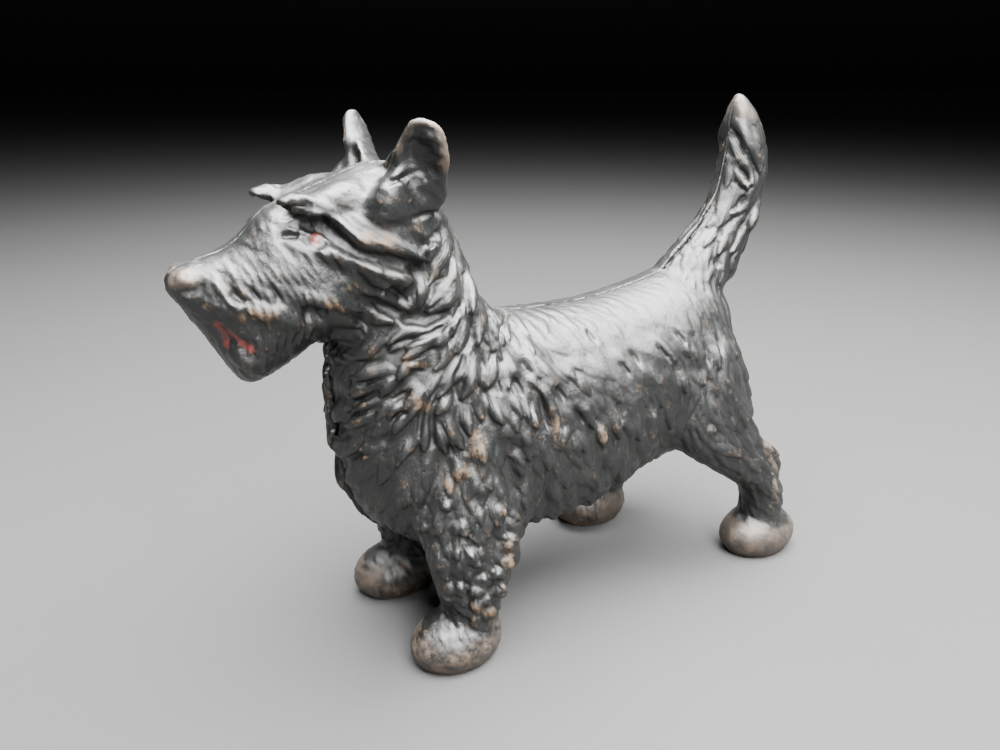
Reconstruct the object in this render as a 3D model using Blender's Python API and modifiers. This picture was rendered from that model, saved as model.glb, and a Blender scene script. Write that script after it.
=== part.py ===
"""Cast iron doorstop in the form of a standing terrier, cast as two hollow halves and screwed together.

The dog faces -X with its left flank towards -Y. The halves meet on the vertical plane Y = 0. Each is a
shell, open at that plane, with its own ear, fore leg, hind leg and half of the tail. Two slotted machine
screws go in from the right flank, through cored bosses, into tapped bosses of the left half.
Sizes are in millimetres, and MM turns them into metres.
"""

import math
from collections import namedtuple
from random import Random

import bmesh
import bpy
from mathutils import Matrix, Vector
from mathutils.bvhtree import BVHTree

MM = 0.001

# Casting
WALL = 4.6
SEAM_GAP = 0.4
BLEND_VOXEL = 2.4
BLEND_PASSES = 26
FORM_VOXEL = 1.5
FORM_PASSES = 3
FORM_TRIANGLES = 17000
CORE_VOXEL = 3.5
CORE_PASSES = 6
CORE_TRIANGLES = 1300
RING_POINTS = 36
STEPS_BETWEEN = 4

# Screws, and the bosses that they hold together
SHANK_DIAMETER = 6.0
SHANK_CLEARANCE = 0.3
HEAD_DIAMETER = 12.0
HEAD_LAND = 0.8
HEAD_CLEARANCE = 0.35
HEAD_SET_BACK = 1.2
SLOT_WIDTH = 1.6
SLOT_DEPTH = 1.9
BOSS_DIAMETER = 17.0
THREAD_LENGTH = 22.0
TAP_END_CLEARANCE = 2.0
FRONT_SCREW = (40.0, 100.0)
REAR_SCREW = (126.0, 108.0)
SCREW_SIDES = 32

# Paws: half length, half width and height of the domed foot, and where the feet stand
FORE_PAW_HALF_LENGTH = 22.0
HIND_PAW_HALF_LENGTH = 23.4
PAW_HALF_WIDTH = 17.0
PAW_HEIGHT = 23.5
PAW_WIDEST_AT = 9.0
FRONT_LEFT_PAW = (2.8, 31.2)
FRONT_RIGHT_PAW = (0.3, 31.5)
REAR_LEFT_PAW = (188.3, 36.5)
REAR_RIGHT_PAW = (127.5, 36.5)

# The coat: its depth on trunk and neck, how many stations and sides a tuft has, by how much tufts differ
# from those of their row in root, lie and length, and how far they stay from a screw's head
COAT_DEPTH = 1.6
TUFT_STATIONS = 6
TUFT_SIDES = 8
ROOT_SPREAD = 2.2
LIE_SPREAD = 0.22
LENGTH_SPREAD = 0.22
COAT_SEED = 4
SCREW_CLEARING = 12.0

# The tail's height at its root, inside the rump, and at its tip
TAIL_ROOT = 148.0
TAIL_TIP = 237.5

# How far the cores reach: up the tail, and down the legs
TAIL_CORE_TOP = 180.0
LEG_CORE_BOTTOM = 60.0

LEFT = -1
RIGHT = 1

# How far forward the brows' tips reach
BROW_TIP = {LEFT: -54.3, RIGHT: -55.5}

# Heights of the ears' tips, and how far each ear and its foot turn from fore and aft
EAR_TIP = {LEFT: 230.6, RIGHT: 232.0}
EAR_TWIST = math.radians(39)
EAR_FOOT_TWIST = math.radians(60)

# A station of a loft: the ring's centre, its half size fore and aft (or up and down in a lengthwise loft),
# its half size across, and how much wider its top is than its bottom.
Station = namedtuple("Station", "x y z half_deep half_wide flare", defaults=(0.0,))

# A tuft of the coat, and a row of them: where its first and last tufts are rooted, which way these two lie,
# how many it has and what they are like. Y points outwards.
Tuft = namedtuple("Tuft", "length width height")
TuftRow = namedtuple("TuftRow", "first last lie last_lie count tuft")


def level(z, front, back, half_wide, y=0.0):
    """A station of an upright loft, from its front and back edges."""
    return Station((front + back) / 2, y, z, (back - front) / 2, half_wide)


def cut(x, bottom, top, half_wide, flare=0.0, y=0.0):
    """A station of a lengthwise loft, from its lowest and highest edges."""
    return Station(x, y, (bottom + top) / 2, (top - bottom) / 2, half_wide, flare)


TORSO = [
    cut(-12, 66, 126, 24),
    cut(6, 52, 142, 37),
    cut(30, 44, 149, 42),
    cut(60, 41, 147, 42),
    cut(90, 44.5, 147, 41),
    cut(115, 52, 150, 39),
    cut(138, 56.5, 155, 37),
    cut(154, 63.5, 155, 34),
    cut(166, 77, 150, 27),
    cut(173, 92, 141, 16),
    cut(176, 103, 133, 7),
]

NECK = [
    level(48.5, 0, 34, 16),
    level(54, -14.5, 48, 27),
    level(64, -26, 58, 33),
    level(80, -33, 62, 36),
    level(107, -36, 62, 36),
    level(129, -35.4, 52, 34),
    level(146, -34.2, 42, 31),
    level(160, -30.6, 31, 28),
    level(172, -26.5, 24, 26),
    level(187, -20, 17, 24),
    level(200, -12, 10, 16),
]

HEAD = [
    cut(-91.5, 173, 178.5, 4),
    cut(-89, 169.5, 181, 8),
    cut(-84.5, 161, 183, 11, 0.05),
    cut(-79.5, 153, 184, 14, 0.1),
    cut(-74, 142, 185.5, 17.5, 0.1),
    cut(-69, 135.5, 187.5, 19.5, 0.1),
    cut(-63, 135.5, 191.8, 20.5, 0.1),
    cut(-57, 138.5, 198.4, 21.5, 0.08),
    cut(-50, 142.5, 202, 22.5),
    cut(-40, 149, 205, 26),
    cut(-27, 153, 210, 29),
    cut(-13, 158, 214, 29),
    cut(0, 166, 212, 26),
    cut(11, 176, 200, 17),
    cut(15, 182, 193, 8),
]


def tail_level(share, x, half_deep, half_wide):
    """A station of the tail, at a share of the way from its root to its tip."""
    return Station(x, 0, TAIL_ROOT + share * (TAIL_TIP - TAIL_ROOT), half_deep, half_wide)


TAIL = [
    tail_level(0.0, 156, 26, 18),
    tail_level(0.156, 167, 22, 14.5),
    tail_level(0.279, 175.5, 18, 12.5),
    tail_level(0.436, 182.5, 14.7, 11.3),
    tail_level(0.626, 186, 13.8, 10.8),
    tail_level(0.804, 184.5, 10.6, 9.3),
    tail_level(0.927, 181, 6.5, 6.2),
    tail_level(1.0, 179, 2.2, 2.2),
]


def front_leg(side):
    """Shoulder, forearm and wrist of one fore leg, from the top down."""
    x, y = FRONT_LEFT_PAW if side == LEFT else FRONT_RIGHT_PAW
    return [
        Station(x + 18.5, side * (y - 11), 104, 26, 15),
        Station(x + 15.5, side * (y - 7), 86, 26, 17),
        Station(x + 11.5, side * (y - 4), 66, 24, 16),
        Station(x + 9.5, side * (y - 1), 50, 21, 15),
        Station(x + 8.5, side * y, 36, 17, 13.5),
        Station(x + 7.5, side * y, 24, 13, 12.5),
        Station(x + 5.5, side * y, 12, 13, 12),
    ]


def rear_left_leg():
    """Thigh, shin and hock of the leg that stands back, from the top down."""
    x, y = REAR_LEFT_PAW
    return [
        Station(142, -y + 17.5, 122, 26, 16),
        Station(145.5, -y + 13.5, 104, 28.5, 17),
        Station(148.5, -y + 9.5, 86, 28, 16.5),
        Station(157, -y + 5.5, 68, 24, 15),
        Station(171, -y + 2, 54, 18, 13),
        Station(x - 3.5, -y, 40, 12.5, 11.5),
        Station(x, -y, 27, 11.3, 11.3),
        Station(x, -y, 12, 12, 12),
    ]


def hock_tuft():
    """The fringe behind the same leg's hock."""
    x, y = REAR_LEFT_PAW
    return [
        Station(x - 9.5, -y + 1.5, 65, 6, 8),
        Station(x - 3.5, -y + 0.5, 58, 8.5, 8.5),
        Station(x + 0.5, -y, 50, 8.5, 8),
        Station(x + 0.5, -y, 42, 5, 6),
    ]


def rear_right_leg():
    """Thigh, shin and hock of the leg that stands forward, from the top down."""
    x, y = REAR_RIGHT_PAW
    return [
        Station(148, y - 17.5, 122, 26, 16),
        Station(146, y - 13.5, 104, 28, 17),
        Station(145, y - 9.5, 86, 26, 16.5),
        Station(150, y - 5.5, 68, 24, 15),
        Station(x + 27, y - 2, 54, 20, 13),
        Station(x + 23.5, y, 40, 15, 11.5),
        Station(x + 14, y, 27, 13.3, 11.3),
        Station(x + 5, y, 12, 13, 12),
    ]


def ear(side):
    """One pricked ear, a flat blade whose broad face looks forward and out."""
    return [
        Station(-7.5, side * 17.5, 190, 9, 5.5),
        Station(-6.9, side * 21.1, 200, 11.7, 5.5),
        Station(-6.4, side * 24.4, 208, 12.3, 4.6),
        Station(-6.0, side * 29.1, 217, 10.9, 3.6),
        Station(-6.7, side * 32.4, 225, 7.6, 3.2),
        Station(-7.2, side * 34.3, EAR_TIP[side], 3.6, 2.6),
    ]


def ear_foot(side):
    """The ear's wide foot, which spreads over the skull towards the middle."""
    return [
        Station(-3.8, side * 15.8, 200, 16.4, 3.8),
        Station(-4.3, side * 17.8, 209, 15.4, 3.2),
        Station(-6.3, side * 22.2, 216, 11.9, 2.5),
        Station(-7.3, side * 25.8, 221, 7.9, 2.2),
    ]


def ear_root(side):
    """The low mound in front of the ear."""
    return [
        Station(-16, side * 24, 196, 9, 7),
        Station(-16, side * 25, 203, 8, 6.5),
        Station(-15, side * 26, 208.5, 5.5, 5),
        Station(-13, side * 27, 212, 3, 3),
    ]


def brow(side):
    """The tuft that stands out over one eye, from the forehead to its tip."""
    return [
        cut(-24, 195, 209.6, 8, y=side * 13.5),
        cut(-34, 195, 208.4, 7.5, y=side * 14.5),
        cut(-41, 196.5, 205.4, 6.5, y=side * 15.5),
        cut(-48.5, 199.2, 204.3, 5, y=side * 16.5),
        cut(BROW_TIP[side], 201.2, 204.7, 2.8, y=side * 16.5),
    ]


LONG_TUFT = Tuft(23.0, 8.4, 3.7)
SHORT_TUFT = Tuft(15.0, 8.2, 3.6)
SLIM_TUFT = Tuft(18.0, 8.0, 2.8)
FAINT_TUFT = Tuft(18.0, 8.4, 2.2)

COAT = [
    # neck
    TuftRow((-4, 21, 187), (15, 13, 188), (-0.5, 0.2, -0.9), (0.1, 0.1, -1), 3, LONG_TUFT),
    TuftRow((-10, 22, 170), (22, 17, 174), (-0.7, 0.2, -0.7), (0.15, 0.2, -1), 5, LONG_TUFT),
    TuftRow((-20, 22, 155), (31, 18, 159), (-0.9, 0, -0.3), (0.2, 0.2, -1), 6, LONG_TUFT),
    # chest and shoulder
    TuftRow((-33, 19, 156), (-33, 21, 98), (-0.3, -0.9, -0.35), (-0.2, -0.8, -0.6), 7, LONG_TUFT),
    TuftRow((-28, 28, 142), (40, 26, 143), (-0.9, -0.2, -0.4), (0.3, 0.2, -0.95), 8, LONG_TUFT),
    TuftRow((-29, 29, 126), (27, 36, 128), (-0.7, -0.4, -0.6), (0.4, 0, -0.9), 7, LONG_TUFT),
    TuftRow((-28, 28, 108), (25, 40, 112), (-0.5, -0.4, -0.8), (0.4, 0, -0.9), 6, SHORT_TUFT),
    # upper fore leg
    TuftRow((-20, 30, 93), (27, 41, 97), (-0.2, -0.2, -1), (0.2, 0, -1), 6, SHORT_TUFT),
    TuftRow((-14, 34, 79), (29, 41, 82), (-0.1, -0.1, -1), (0.2, 0, -1), 5, SHORT_TUFT),
    TuftRow((-9, 36, 65), (31, 38, 67), (0, 0, -1), (0.1, 0, -1), 5, SHORT_TUFT),
    TuftRow((-5, 38, 51), (29, 38, 53), (0, 0, -1), (0, 0, -1), 4, SHORT_TUFT),
    # flank
    TuftRow((38, 40, 133), (121, 36, 136), (0.65, 0.2, -0.75), (0.65, 0.2, -0.75), 8, SLIM_TUFT),
    TuftRow((46, 42, 119), (108, 38, 122), (0.6, 0.1, -0.8), (0.6, 0.1, -0.8), 7, SLIM_TUFT),
    TuftRow((38, 42, 105), (98, 40, 107), (0.45, 0, -0.9), (0.45, 0, -0.9), 7, SLIM_TUFT),
    TuftRow((45, 42, 90), (104, 40, 92), (0.4, 0, -0.9), (0.4, 0, -0.9), 7, SLIM_TUFT),
    TuftRow((38, 42, 75), (99, 38, 77), (0.25, -0.1, -0.95), (0.3, -0.1, -0.95), 7, SHORT_TUFT),
    TuftRow((45, 36, 61), (94, 34, 62), (0.2, -0.3, -0.95), (0.2, -0.3, -0.95), 6, SHORT_TUFT),
    # haunch
    TuftRow((130, 38, 132), (161, 32, 132), (0.5, 0, -0.85), (0.3, 0, -0.95), 4, FAINT_TUFT),
    TuftRow((110, 41, 115), (162, 33, 115), (0.4, 0, -0.9), (0.3, 0, -0.95), 6, FAINT_TUFT),
    TuftRow((117, 42, 98), (165, 33, 98), (0.4, 0, -0.9), (0.3, 0, -0.95), 5, FAINT_TUFT),
    TuftRow((126, 42, 81), (169, 34, 81), (0.4, 0, -0.9), (0.4, 0, -0.9), 4, FAINT_TUFT),
    # tail
    TuftRow((174, 8, 227), (184, 8, 217), (0.45, 0, -0.9), (0.45, 0, -0.9), 2, SLIM_TUFT),
    TuftRow((192, 8, 205), (196, 6, 189), (-0.6, 0.4, -0.8), (-0.6, 0.4, -0.8), 2, LONG_TUFT),
]


def under_coat(stations, deep=COAT_DEPTH):
    """The stations without the depth of the coat on their sides, or on their front and back."""
    return [s._replace(half_deep=s.half_deep - deep, half_wide=s.half_wide - COAT_DEPTH) for s in stations]


def trunk():
    return under_coat(TORSO, deep=0.0)


def neck():
    return under_coat(NECK)


def smooth_path(stations):
    """The stations with others between them, on a Catmull-Rom curve through each value."""
    if len(stations) < 2:
        return []
    ends = [stations[0], *stations, stations[-1]]
    path = []
    for a, b, c, d in zip(ends, ends[1:], ends[2:], ends[3:]):
        for step in range(STEPS_BETWEEN):
            t = step / STEPS_BETWEEN
            path.append(Station(*(
                0.5 * (2 * q + (r - p) * t + (2 * p - 5 * q + 4 * r - s) * t**2 + (3 * q - p - 3 * r + s) * t**3)
                for p, q, r, s in zip(a, b, c, d)
            )))
    return [*path, stations[-1]]


def ring(station, deep, across, inset):
    """Points of one station's ring."""
    centre = Vector((station.x, station.y, station.z))
    points = []
    for k in range(RING_POINTS):
        angle = 2 * math.pi * k / RING_POINTS
        wide = (station.half_wide - inset) * (1 + station.flare * math.cos(angle))
        tall = station.half_deep - inset
        points.append((centre + deep * tall * math.cos(angle) + across * wide * math.sin(angle)) * MM)
    return points


def inner_path(path, axis, inset):
    """The part of a path that can be cored: well inside its ends, and thick enough."""
    if not path:
        return path
    low, high = sorted((path[0][axis], path[-1][axis]))
    margin = 1.6 * inset
    return [
        s for s in path
        if low + margin <= s[axis] <= high - margin and min(s.half_deep, s.half_wide) > 1.5 * inset
    ]


def join_rings(bm, rings):
    """Adds the closed solid that runs through the rings."""
    loops = [[bm.verts.new(p) for p in points] for points in rings]
    for near, far in zip(loops, loops[1:]):
        for k, vert in enumerate(near):
            nxt = (k + 1) % len(near)
            bm.faces.new((vert, near[nxt], far[nxt], far[k]))
    bm.faces.new(loops[0][::-1])
    bm.faces.new(loops[-1])


def add_loft(bm, stations, lengthwise=False, inset=0.0, twist=0.0):
    """Adds a closed loft, whose rings stand upright in a lengthwise loft and lie level in any other."""
    deep = Vector((0, 0, 1)) if lengthwise else Vector((math.cos(twist), math.sin(twist), 0))
    across = Vector((0, 1, 0)) if lengthwise else Vector((-math.sin(twist), math.cos(twist), 0))
    path = smooth_path(stations)
    if inset:
        path = inner_path(path, 0 if lengthwise else 2, inset)
    if len(path) < 2:
        return
    join_rings(bm, [ring(s, deep, across, inset) for s in path])


def add_paw(bm, x, y, half_length):
    """A domed foot that reaches below the floor, where the sole is then cut flat."""
    shape = Matrix.Diagonal((
        half_length * MM, PAW_HALF_WIDTH * MM, (PAW_HEIGHT - PAW_WIDEST_AT) * MM, 1,
    ))
    place = Matrix.Translation(Vector((x, y, PAW_WIDEST_AT)) * MM)
    bmesh.ops.create_uvsphere(bm, u_segments=24, v_segments=16, radius=1.0, matrix=place @ shape)


def add_tuft(bm, surface, root, lie, tuft):
    """A raised lock of the coat, which follows the surface from its root and ends in its highest part."""
    place = root * MM
    rings = []
    for k in range(TUFT_STATIONS):
        share = k / (TUFT_STATIONS - 1)
        place, normal, _, _ = surface.find_nearest(place)
        along = (lie - lie.project(normal)).normalized()
        wide = normal.cross(along) * tuft.width / 2 * math.sin(math.pi * (0.12 + 0.76 * share)) ** 0.6
        tall = normal * tuft.height * (0.3 + 0.7 * share ** 0.7)
        angles = [2 * math.pi * n / TUFT_SIDES for n in range(TUFT_SIDES)]
        rings.append([place + (wide * math.cos(a) + tall * math.sin(a)) * MM for a in angles])
        place = place + along * tuft.length / (TUFT_STATIONS - 1) * MM
    join_rings(bm, rings)


def clear_of_screws(root, lie, tuft):
    """Whether a tuft leaves the screws' heads free."""
    middle = root + lie.normalized() * tuft.length / 2
    reach = SCREW_CLEARING + tuft.length / 2
    return all(math.hypot(middle.x - x, middle.z - z) > reach for x, z in (FRONT_SCREW, REAR_SCREW))


def add_coat(bm, surface, side, chance):
    """The coat's rows of tufts on one side of the body, no two of them quite alike."""
    out = Vector((1, side, 1))

    def about(spread):
        return Vector([chance.uniform(-spread, spread) for _ in range(3)])

    for row in COAT:
        for k in range(row.count):
            share = k / (row.count - 1)
            root = Vector(row.first).lerp(Vector(row.last), share) * out + about(ROOT_SPREAD)
            lie = Vector(row.lie).lerp(Vector(row.last_lie), share) * out + about(LIE_SPREAD)
            tuft = row.tuft._replace(length=row.tuft.length * (1 + chance.uniform(-LENGTH_SPREAD, LENGTH_SPREAD)))
            if side == LEFT or clear_of_screws(root, lie, tuft):
                add_tuft(bm, surface, root, lie, tuft)


def add_box(bm, low, high):
    centre = (Vector(low) + Vector(high)) / 2
    size = Vector(high) - Vector(low)
    bmesh.ops.create_cube(
        bm, size=1.0, matrix=Matrix.Translation(centre * MM) @ Matrix.Diagonal((*(size * MM), 1)),
    )


def add_rod(bm, x, z, y_from, y_to, diameter):
    """A round rod along Y."""
    turn = Matrix.Rotation(math.pi / 2, 4, "X")
    bmesh.ops.create_cone(
        bm, cap_ends=True, segments=SCREW_SIDES,
        radius1=diameter / 2 * MM, radius2=diameter / 2 * MM, depth=(y_to - y_from) * MM,
        matrix=Matrix.Translation(Vector((x, (y_from + y_to) / 2, z)) * MM) @ turn,
    )


def new_object(name, bm, collection):
    bmesh.ops.recalc_face_normals(bm, faces=bm.faces)
    mesh = bpy.data.meshes.new(name)
    bm.to_mesh(mesh)
    bm.free()
    obj = bpy.data.objects.new(name, mesh)
    collection.objects.link(obj)
    return obj


def baked(obj):
    """The object's mesh with its modifiers applied. The object itself is removed."""
    depsgraph = bpy.context.evaluated_depsgraph_get()
    mesh = bpy.data.meshes.new_from_object(obj.evaluated_get(depsgraph))
    bpy.data.objects.remove(obj)
    return mesh


def skinned(bm, voxel, passes):
    """One closed skin over every solid in the bmesh, blended where they meet."""
    obj = new_object("skin", bm, bpy.context.scene.collection)
    remesh = obj.modifiers.new("skin", "REMESH")
    remesh.mode = "VOXEL"
    remesh.voxel_size = voxel * MM
    smooth = obj.modifiers.new("blend", "SMOOTH")
    smooth.factor = 0.5
    smooth.iterations = passes
    return baked(obj)


def thinned(mesh, triangles):
    """The mesh brought down to about this many triangles."""
    obj = bpy.data.objects.new("thin", mesh)
    bpy.context.scene.collection.objects.link(obj)
    mesh.calc_loop_triangles()
    decimate = obj.modifiers.new("thin", "DECIMATE")
    decimate.ratio = min(1.0, triangles / len(mesh.loop_triangles))
    decimate.use_collapse_triangulate = True
    return baked(obj)


def add_masses(bm):
    """Trunk, neck, head, tail and legs at full size."""
    add_loft(bm, trunk(), lengthwise=True)
    add_loft(bm, HEAD, lengthwise=True)
    add_loft(bm, neck())
    add_loft(bm, TAIL)
    for stations in (front_leg(LEFT), front_leg(RIGHT), rear_left_leg(), rear_right_leg()):
        add_loft(bm, stations)


def outer_form():
    """The whole animal as one skin: first the blends between the big masses, then every mass at full size."""
    bm = bmesh.new()
    add_masses(bm)
    blend = skinned(bm, BLEND_VOXEL, BLEND_PASSES)
    bm = bmesh.new()
    bm.from_mesh(blend)
    bpy.data.meshes.remove(blend)
    add_masses(bm)
    add_loft(bm, hock_tuft())
    for side in (LEFT, RIGHT):
        add_loft(bm, ear(side), twist=side * EAR_TWIST)
        add_loft(bm, ear_foot(side), twist=side * EAR_FOOT_TWIST)
        add_loft(bm, ear_root(side))
        add_loft(bm, brow(side), lengthwise=True)
    for side, fore, hind in ((LEFT, FRONT_LEFT_PAW, REAR_LEFT_PAW), (RIGHT, FRONT_RIGHT_PAW, REAR_RIGHT_PAW)):
        add_paw(bm, fore[0], side * fore[1], FORE_PAW_HALF_LENGTH)
        add_paw(bm, hind[0], side * hind[1], HIND_PAW_HALF_LENGTH)
    body = skinned(bm.copy(), BLEND_VOXEL, FORM_PASSES)
    surface = BVHTree.FromPolygons([v.co for v in body.vertices], [p.vertices for p in body.polygons])
    bpy.data.meshes.remove(body)
    chance = Random(COAT_SEED)
    for side in (LEFT, RIGHT):
        add_coat(bm, surface, side, chance)
    return thinned(skinned(bm, FORM_VOXEL, FORM_PASSES), FORM_TRIANGLES)


def inner_form():
    """The core of the mould, which leaves the wall between itself and the outer form."""
    bm = bmesh.new()
    add_loft(bm, trunk(), lengthwise=True, inset=WALL)
    add_loft(bm, HEAD, lengthwise=True, inset=WALL)
    add_loft(bm, neck(), inset=WALL)
    add_loft(bm, [s for s in TAIL if s.z <= TAIL_CORE_TOP], inset=WALL)
    for stations in (front_leg(LEFT), front_leg(RIGHT), rear_left_leg(), rear_right_leg()):
        add_loft(bm, [s for s in stations if s.z >= LEG_CORE_BOTTOM], inset=WALL)
    return thinned(skinned(bm, CORE_VOXEL, CORE_PASSES), CORE_TRIANGLES)


def flank(x, z):
    """How far the trunk's side lies from the middle at a place."""
    station = min(smooth_path(trunk()), key=lambda s: abs(s.x - x))
    rise = (z - station.z) / station.half_deep
    return station.half_wide * math.sqrt(max(0.0, 1 - rise**2))


def turned(name, profile, x, z, collection):
    """A solid turned about the line through (x, z) along Y, from its (y, radius) outline, axis to axis."""
    bm = bmesh.new()
    verts = [bm.verts.new((radius * MM, y * MM, 0)) for y, radius in profile]
    for a, b in zip(verts, verts[1:]):
        bm.edges.new((a, b))
    mesh = bpy.data.meshes.new(name)
    bm.to_mesh(mesh)
    bm.free()
    obj = bpy.data.objects.new(name, mesh)
    obj.location = (x * MM, 0, z * MM)
    collection.objects.link(obj)
    screw = obj.modifiers.new("turn", "SCREW")
    screw.axis = "Y"
    screw.steps = SCREW_SIDES
    screw.render_steps = SCREW_SIDES
    screw.use_merge_vertices = True
    screw.merge_threshold = 0.00001
    screw.use_normal_calculate = True
    return obj


def boolean(obj, cutter, operation):
    modifier = obj.modifiers.new(cutter.name, "BOOLEAN")
    modifier.operation = operation
    modifier.solver = "EXACT"
    modifier.object = cutter


def material(name, colour, roughness, metallic):
    mat = bpy.data.materials.new(name)
    mat.use_nodes = True
    shader = mat.node_tree.nodes["Principled BSDF"]
    shader.inputs["Base Color"].default_value = (*colour, 1)
    shader.inputs["Roughness"].default_value = roughness
    shader.inputs["Metallic"].default_value = metallic
    return mat


def collection_named(name):
    collection = bpy.data.collections.new(name)
    bpy.context.scene.collection.children.link(collection)
    return collection


def as_cutter(obj):
    obj.display_type = "WIRE"
    obj.hide_render = True
    return obj


def head_seat(x, z):
    """Where the face of a screw's head lies, set back from the right flank."""
    return flank(x, z) - HEAD_SET_BACK


def screw_profile(face, grow, end):
    """Outline of a countersunk screw whose head faces +Y at `face`, grown by `grow` and running to `end`."""
    head = HEAD_DIAMETER / 2 + grow
    shank = SHANK_DIAMETER / 2 + min(grow, SHANK_CLEARANCE)
    under = face - HEAD_LAND
    return [(face, 0), (face, head), (under, head), (under - (head - shank), shank), (end, shank), (end, 0)]


def make_screw(name, place, parts, cutters):
    x, z = place
    face = head_seat(x, z)
    screw = turned(name, screw_profile(face, 0.0, -THREAD_LENGTH), x, z, parts)
    bm = bmesh.new()
    reach = HEAD_DIAMETER
    add_box(
        bm, (x - SLOT_WIDTH / 2, face - SLOT_DEPTH, z - reach), (x + SLOT_WIDTH / 2, face + SLOT_DEPTH, z + reach),
    )
    boolean(screw, as_cutter(new_object(name + "_slot", bm, cutters)), "DIFFERENCE")
    return screw


def make_screw_hole(name, place, cutters):
    """The countersunk hole, open to the outside, that runs on into the left half's tapped boss."""
    x, z = place
    face = head_seat(x, z)
    seat = screw_profile(face, HEAD_CLEARANCE, -THREAD_LENGTH - TAP_END_CLEARANCE)
    outside = face + HEAD_DIAMETER
    return as_cutter(turned(name, [(outside, 0), (outside, seat[1][1]), *seat[2:]], x, z, cutters))


def half_space(name, side, cutters):
    """The side's half of space above the floor, up to half the seam's gap from the middle."""
    bm = bmesh.new()
    near, far, reach = side * SEAM_GAP / 2, side * 200, 400
    add_box(bm, (-reach, min(near, far), 0), (reach, max(near, far), reach))
    return as_cutter(new_object(name, bm, cutters))


def centre_on_origin(objects):
    """Moves everything so that the middle of the castings' box stands on the origin."""
    depsgraph = bpy.context.evaluated_depsgraph_get()
    xs = []
    for obj in objects:
        mesh = obj.evaluated_get(depsgraph).data
        xs.extend(v.co.x + obj.location.x for v in mesh.vertices)
    shift = -(min(xs) + max(xs)) / 2
    for obj in bpy.data.objects:
        obj.location.x += shift


def main():
    for obj in list(bpy.data.objects):
        bpy.data.objects.remove(obj)
    parts = collection_named("terrier_doorstop")
    cutters = collection_named("cutters")

    form = outer_form()
    core = as_cutter(bpy.data.objects.new("core", inner_form()))
    cutters.objects.link(core)
    holes = []
    screws = []
    for name, place in (("front_screw", FRONT_SCREW), ("rear_screw", REAR_SCREW)):
        bm = bmesh.new()
        add_rod(bm, *place, -2 * BOSS_DIAMETER - flank(*place), 2 * BOSS_DIAMETER + flank(*place), BOSS_DIAMETER)
        boolean(core, as_cutter(new_object(name + "_boss", bm, cutters)), "DIFFERENCE")
        holes.append(make_screw_hole(name + "_hole", place, cutters))
        screws.append(make_screw(name, place, parts, cutters))

    paint = (0.016, 0.016, 0.017)
    halves = []
    for name, side in (("left_half_casting", LEFT), ("right_half_casting", RIGHT)):
        half = bpy.data.objects.new(name, form.copy())
        parts.objects.link(half)
        boolean(half, half_space(name + "_side", side, cutters), "INTERSECT")
        boolean(half, core, "DIFFERENCE")
        for hole in holes:
            boolean(half, hole, "DIFFERENCE")
        half.data.materials.append(material(name + "_paint", paint, 0.4, 0.0))
        halves.append(half)
    bpy.data.meshes.remove(form)
    for screw in screws:
        screw.data.materials.append(material(screw.name + "_steel", (0.32, 0.3, 0.28), 0.45, 1.0))

    centre_on_origin(halves)


main()
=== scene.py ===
"""The looks of the cast iron terrier doorstop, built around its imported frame.

Each half of the casting stands for its frame node. It starts as that node's own mesh, evenly and finely
remeshed, and is then sculpted: the face, the ears, the locks of the coat and the seam are real shape.
Sculpting works in millimetres, on a casting held as a left half. The right half is mirrored for it.
"""

import math

import bmesh
import bpy
import numpy as np
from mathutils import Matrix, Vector
from mathutils.bvhtree import BVHTree
from mathutils.kdtree import KDTree


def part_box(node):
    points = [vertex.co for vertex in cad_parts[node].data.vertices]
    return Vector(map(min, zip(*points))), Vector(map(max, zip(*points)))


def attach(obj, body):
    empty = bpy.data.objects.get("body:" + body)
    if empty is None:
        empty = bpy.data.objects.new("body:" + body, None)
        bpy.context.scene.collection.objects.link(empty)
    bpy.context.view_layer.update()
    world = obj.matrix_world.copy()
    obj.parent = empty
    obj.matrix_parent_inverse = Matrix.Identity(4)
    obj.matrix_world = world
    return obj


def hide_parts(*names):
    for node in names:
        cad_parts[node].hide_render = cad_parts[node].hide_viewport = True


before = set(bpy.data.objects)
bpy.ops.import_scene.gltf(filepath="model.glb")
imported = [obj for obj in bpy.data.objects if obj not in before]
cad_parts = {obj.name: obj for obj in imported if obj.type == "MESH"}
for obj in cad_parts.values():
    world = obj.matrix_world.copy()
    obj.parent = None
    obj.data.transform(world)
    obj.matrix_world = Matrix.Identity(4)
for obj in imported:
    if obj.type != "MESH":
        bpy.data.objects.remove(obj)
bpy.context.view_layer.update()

MM = 0.001

# Each casting's node, whether it is a right half, the seed of its coat and the name of its paint
CASTINGS = (
    ("left_half_casting", False, 11, "black_paint_left"),
    ("right_half_casting", True, 12, "black_paint_right"),
)
SCREWS = ("front_screw", "rear_screw")

# The photograph's camera, in metres and in pixels of a picture of 1000 by 750
PICTURE_SIZE = (1000, 750)
FOCAL_PIXELS = 770.0
SENSOR_WIDTH = 36.0
CAMERA_PLACE = Vector((-0.1838, -0.2846, 0.2400))
CAMERA_AZIMUTH = math.radians(-30.5)
CAMERA_TILT = math.radians(20.5)

# The fine mesh: its squares, which edges stay sharp, its smoothing, and its thinning in the full scene
VOXEL = 0.62
WELD_DISTANCE = 0.00001
FACET_LEVELS = 2
CREASE_ANGLE = math.radians(48)
FACET_PASSES = 9
SMOOTH_SHARE = 0.5
MOST_TRIANGLES = 198000
OUTSIDE_WEIGHT = 0.5
OUTSIDE_KEPT = 0.002

# A face is outside when more than one of the rays that start just above it meets nothing
ESCAPE_RAYS = 14
RAY_LIFT = 0.0002

# The right casting stays plain within the first radius around a screw's head. It is fully sculpted from the
# second.
SCREW_CLEAR = (7.5, 11.0)

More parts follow.
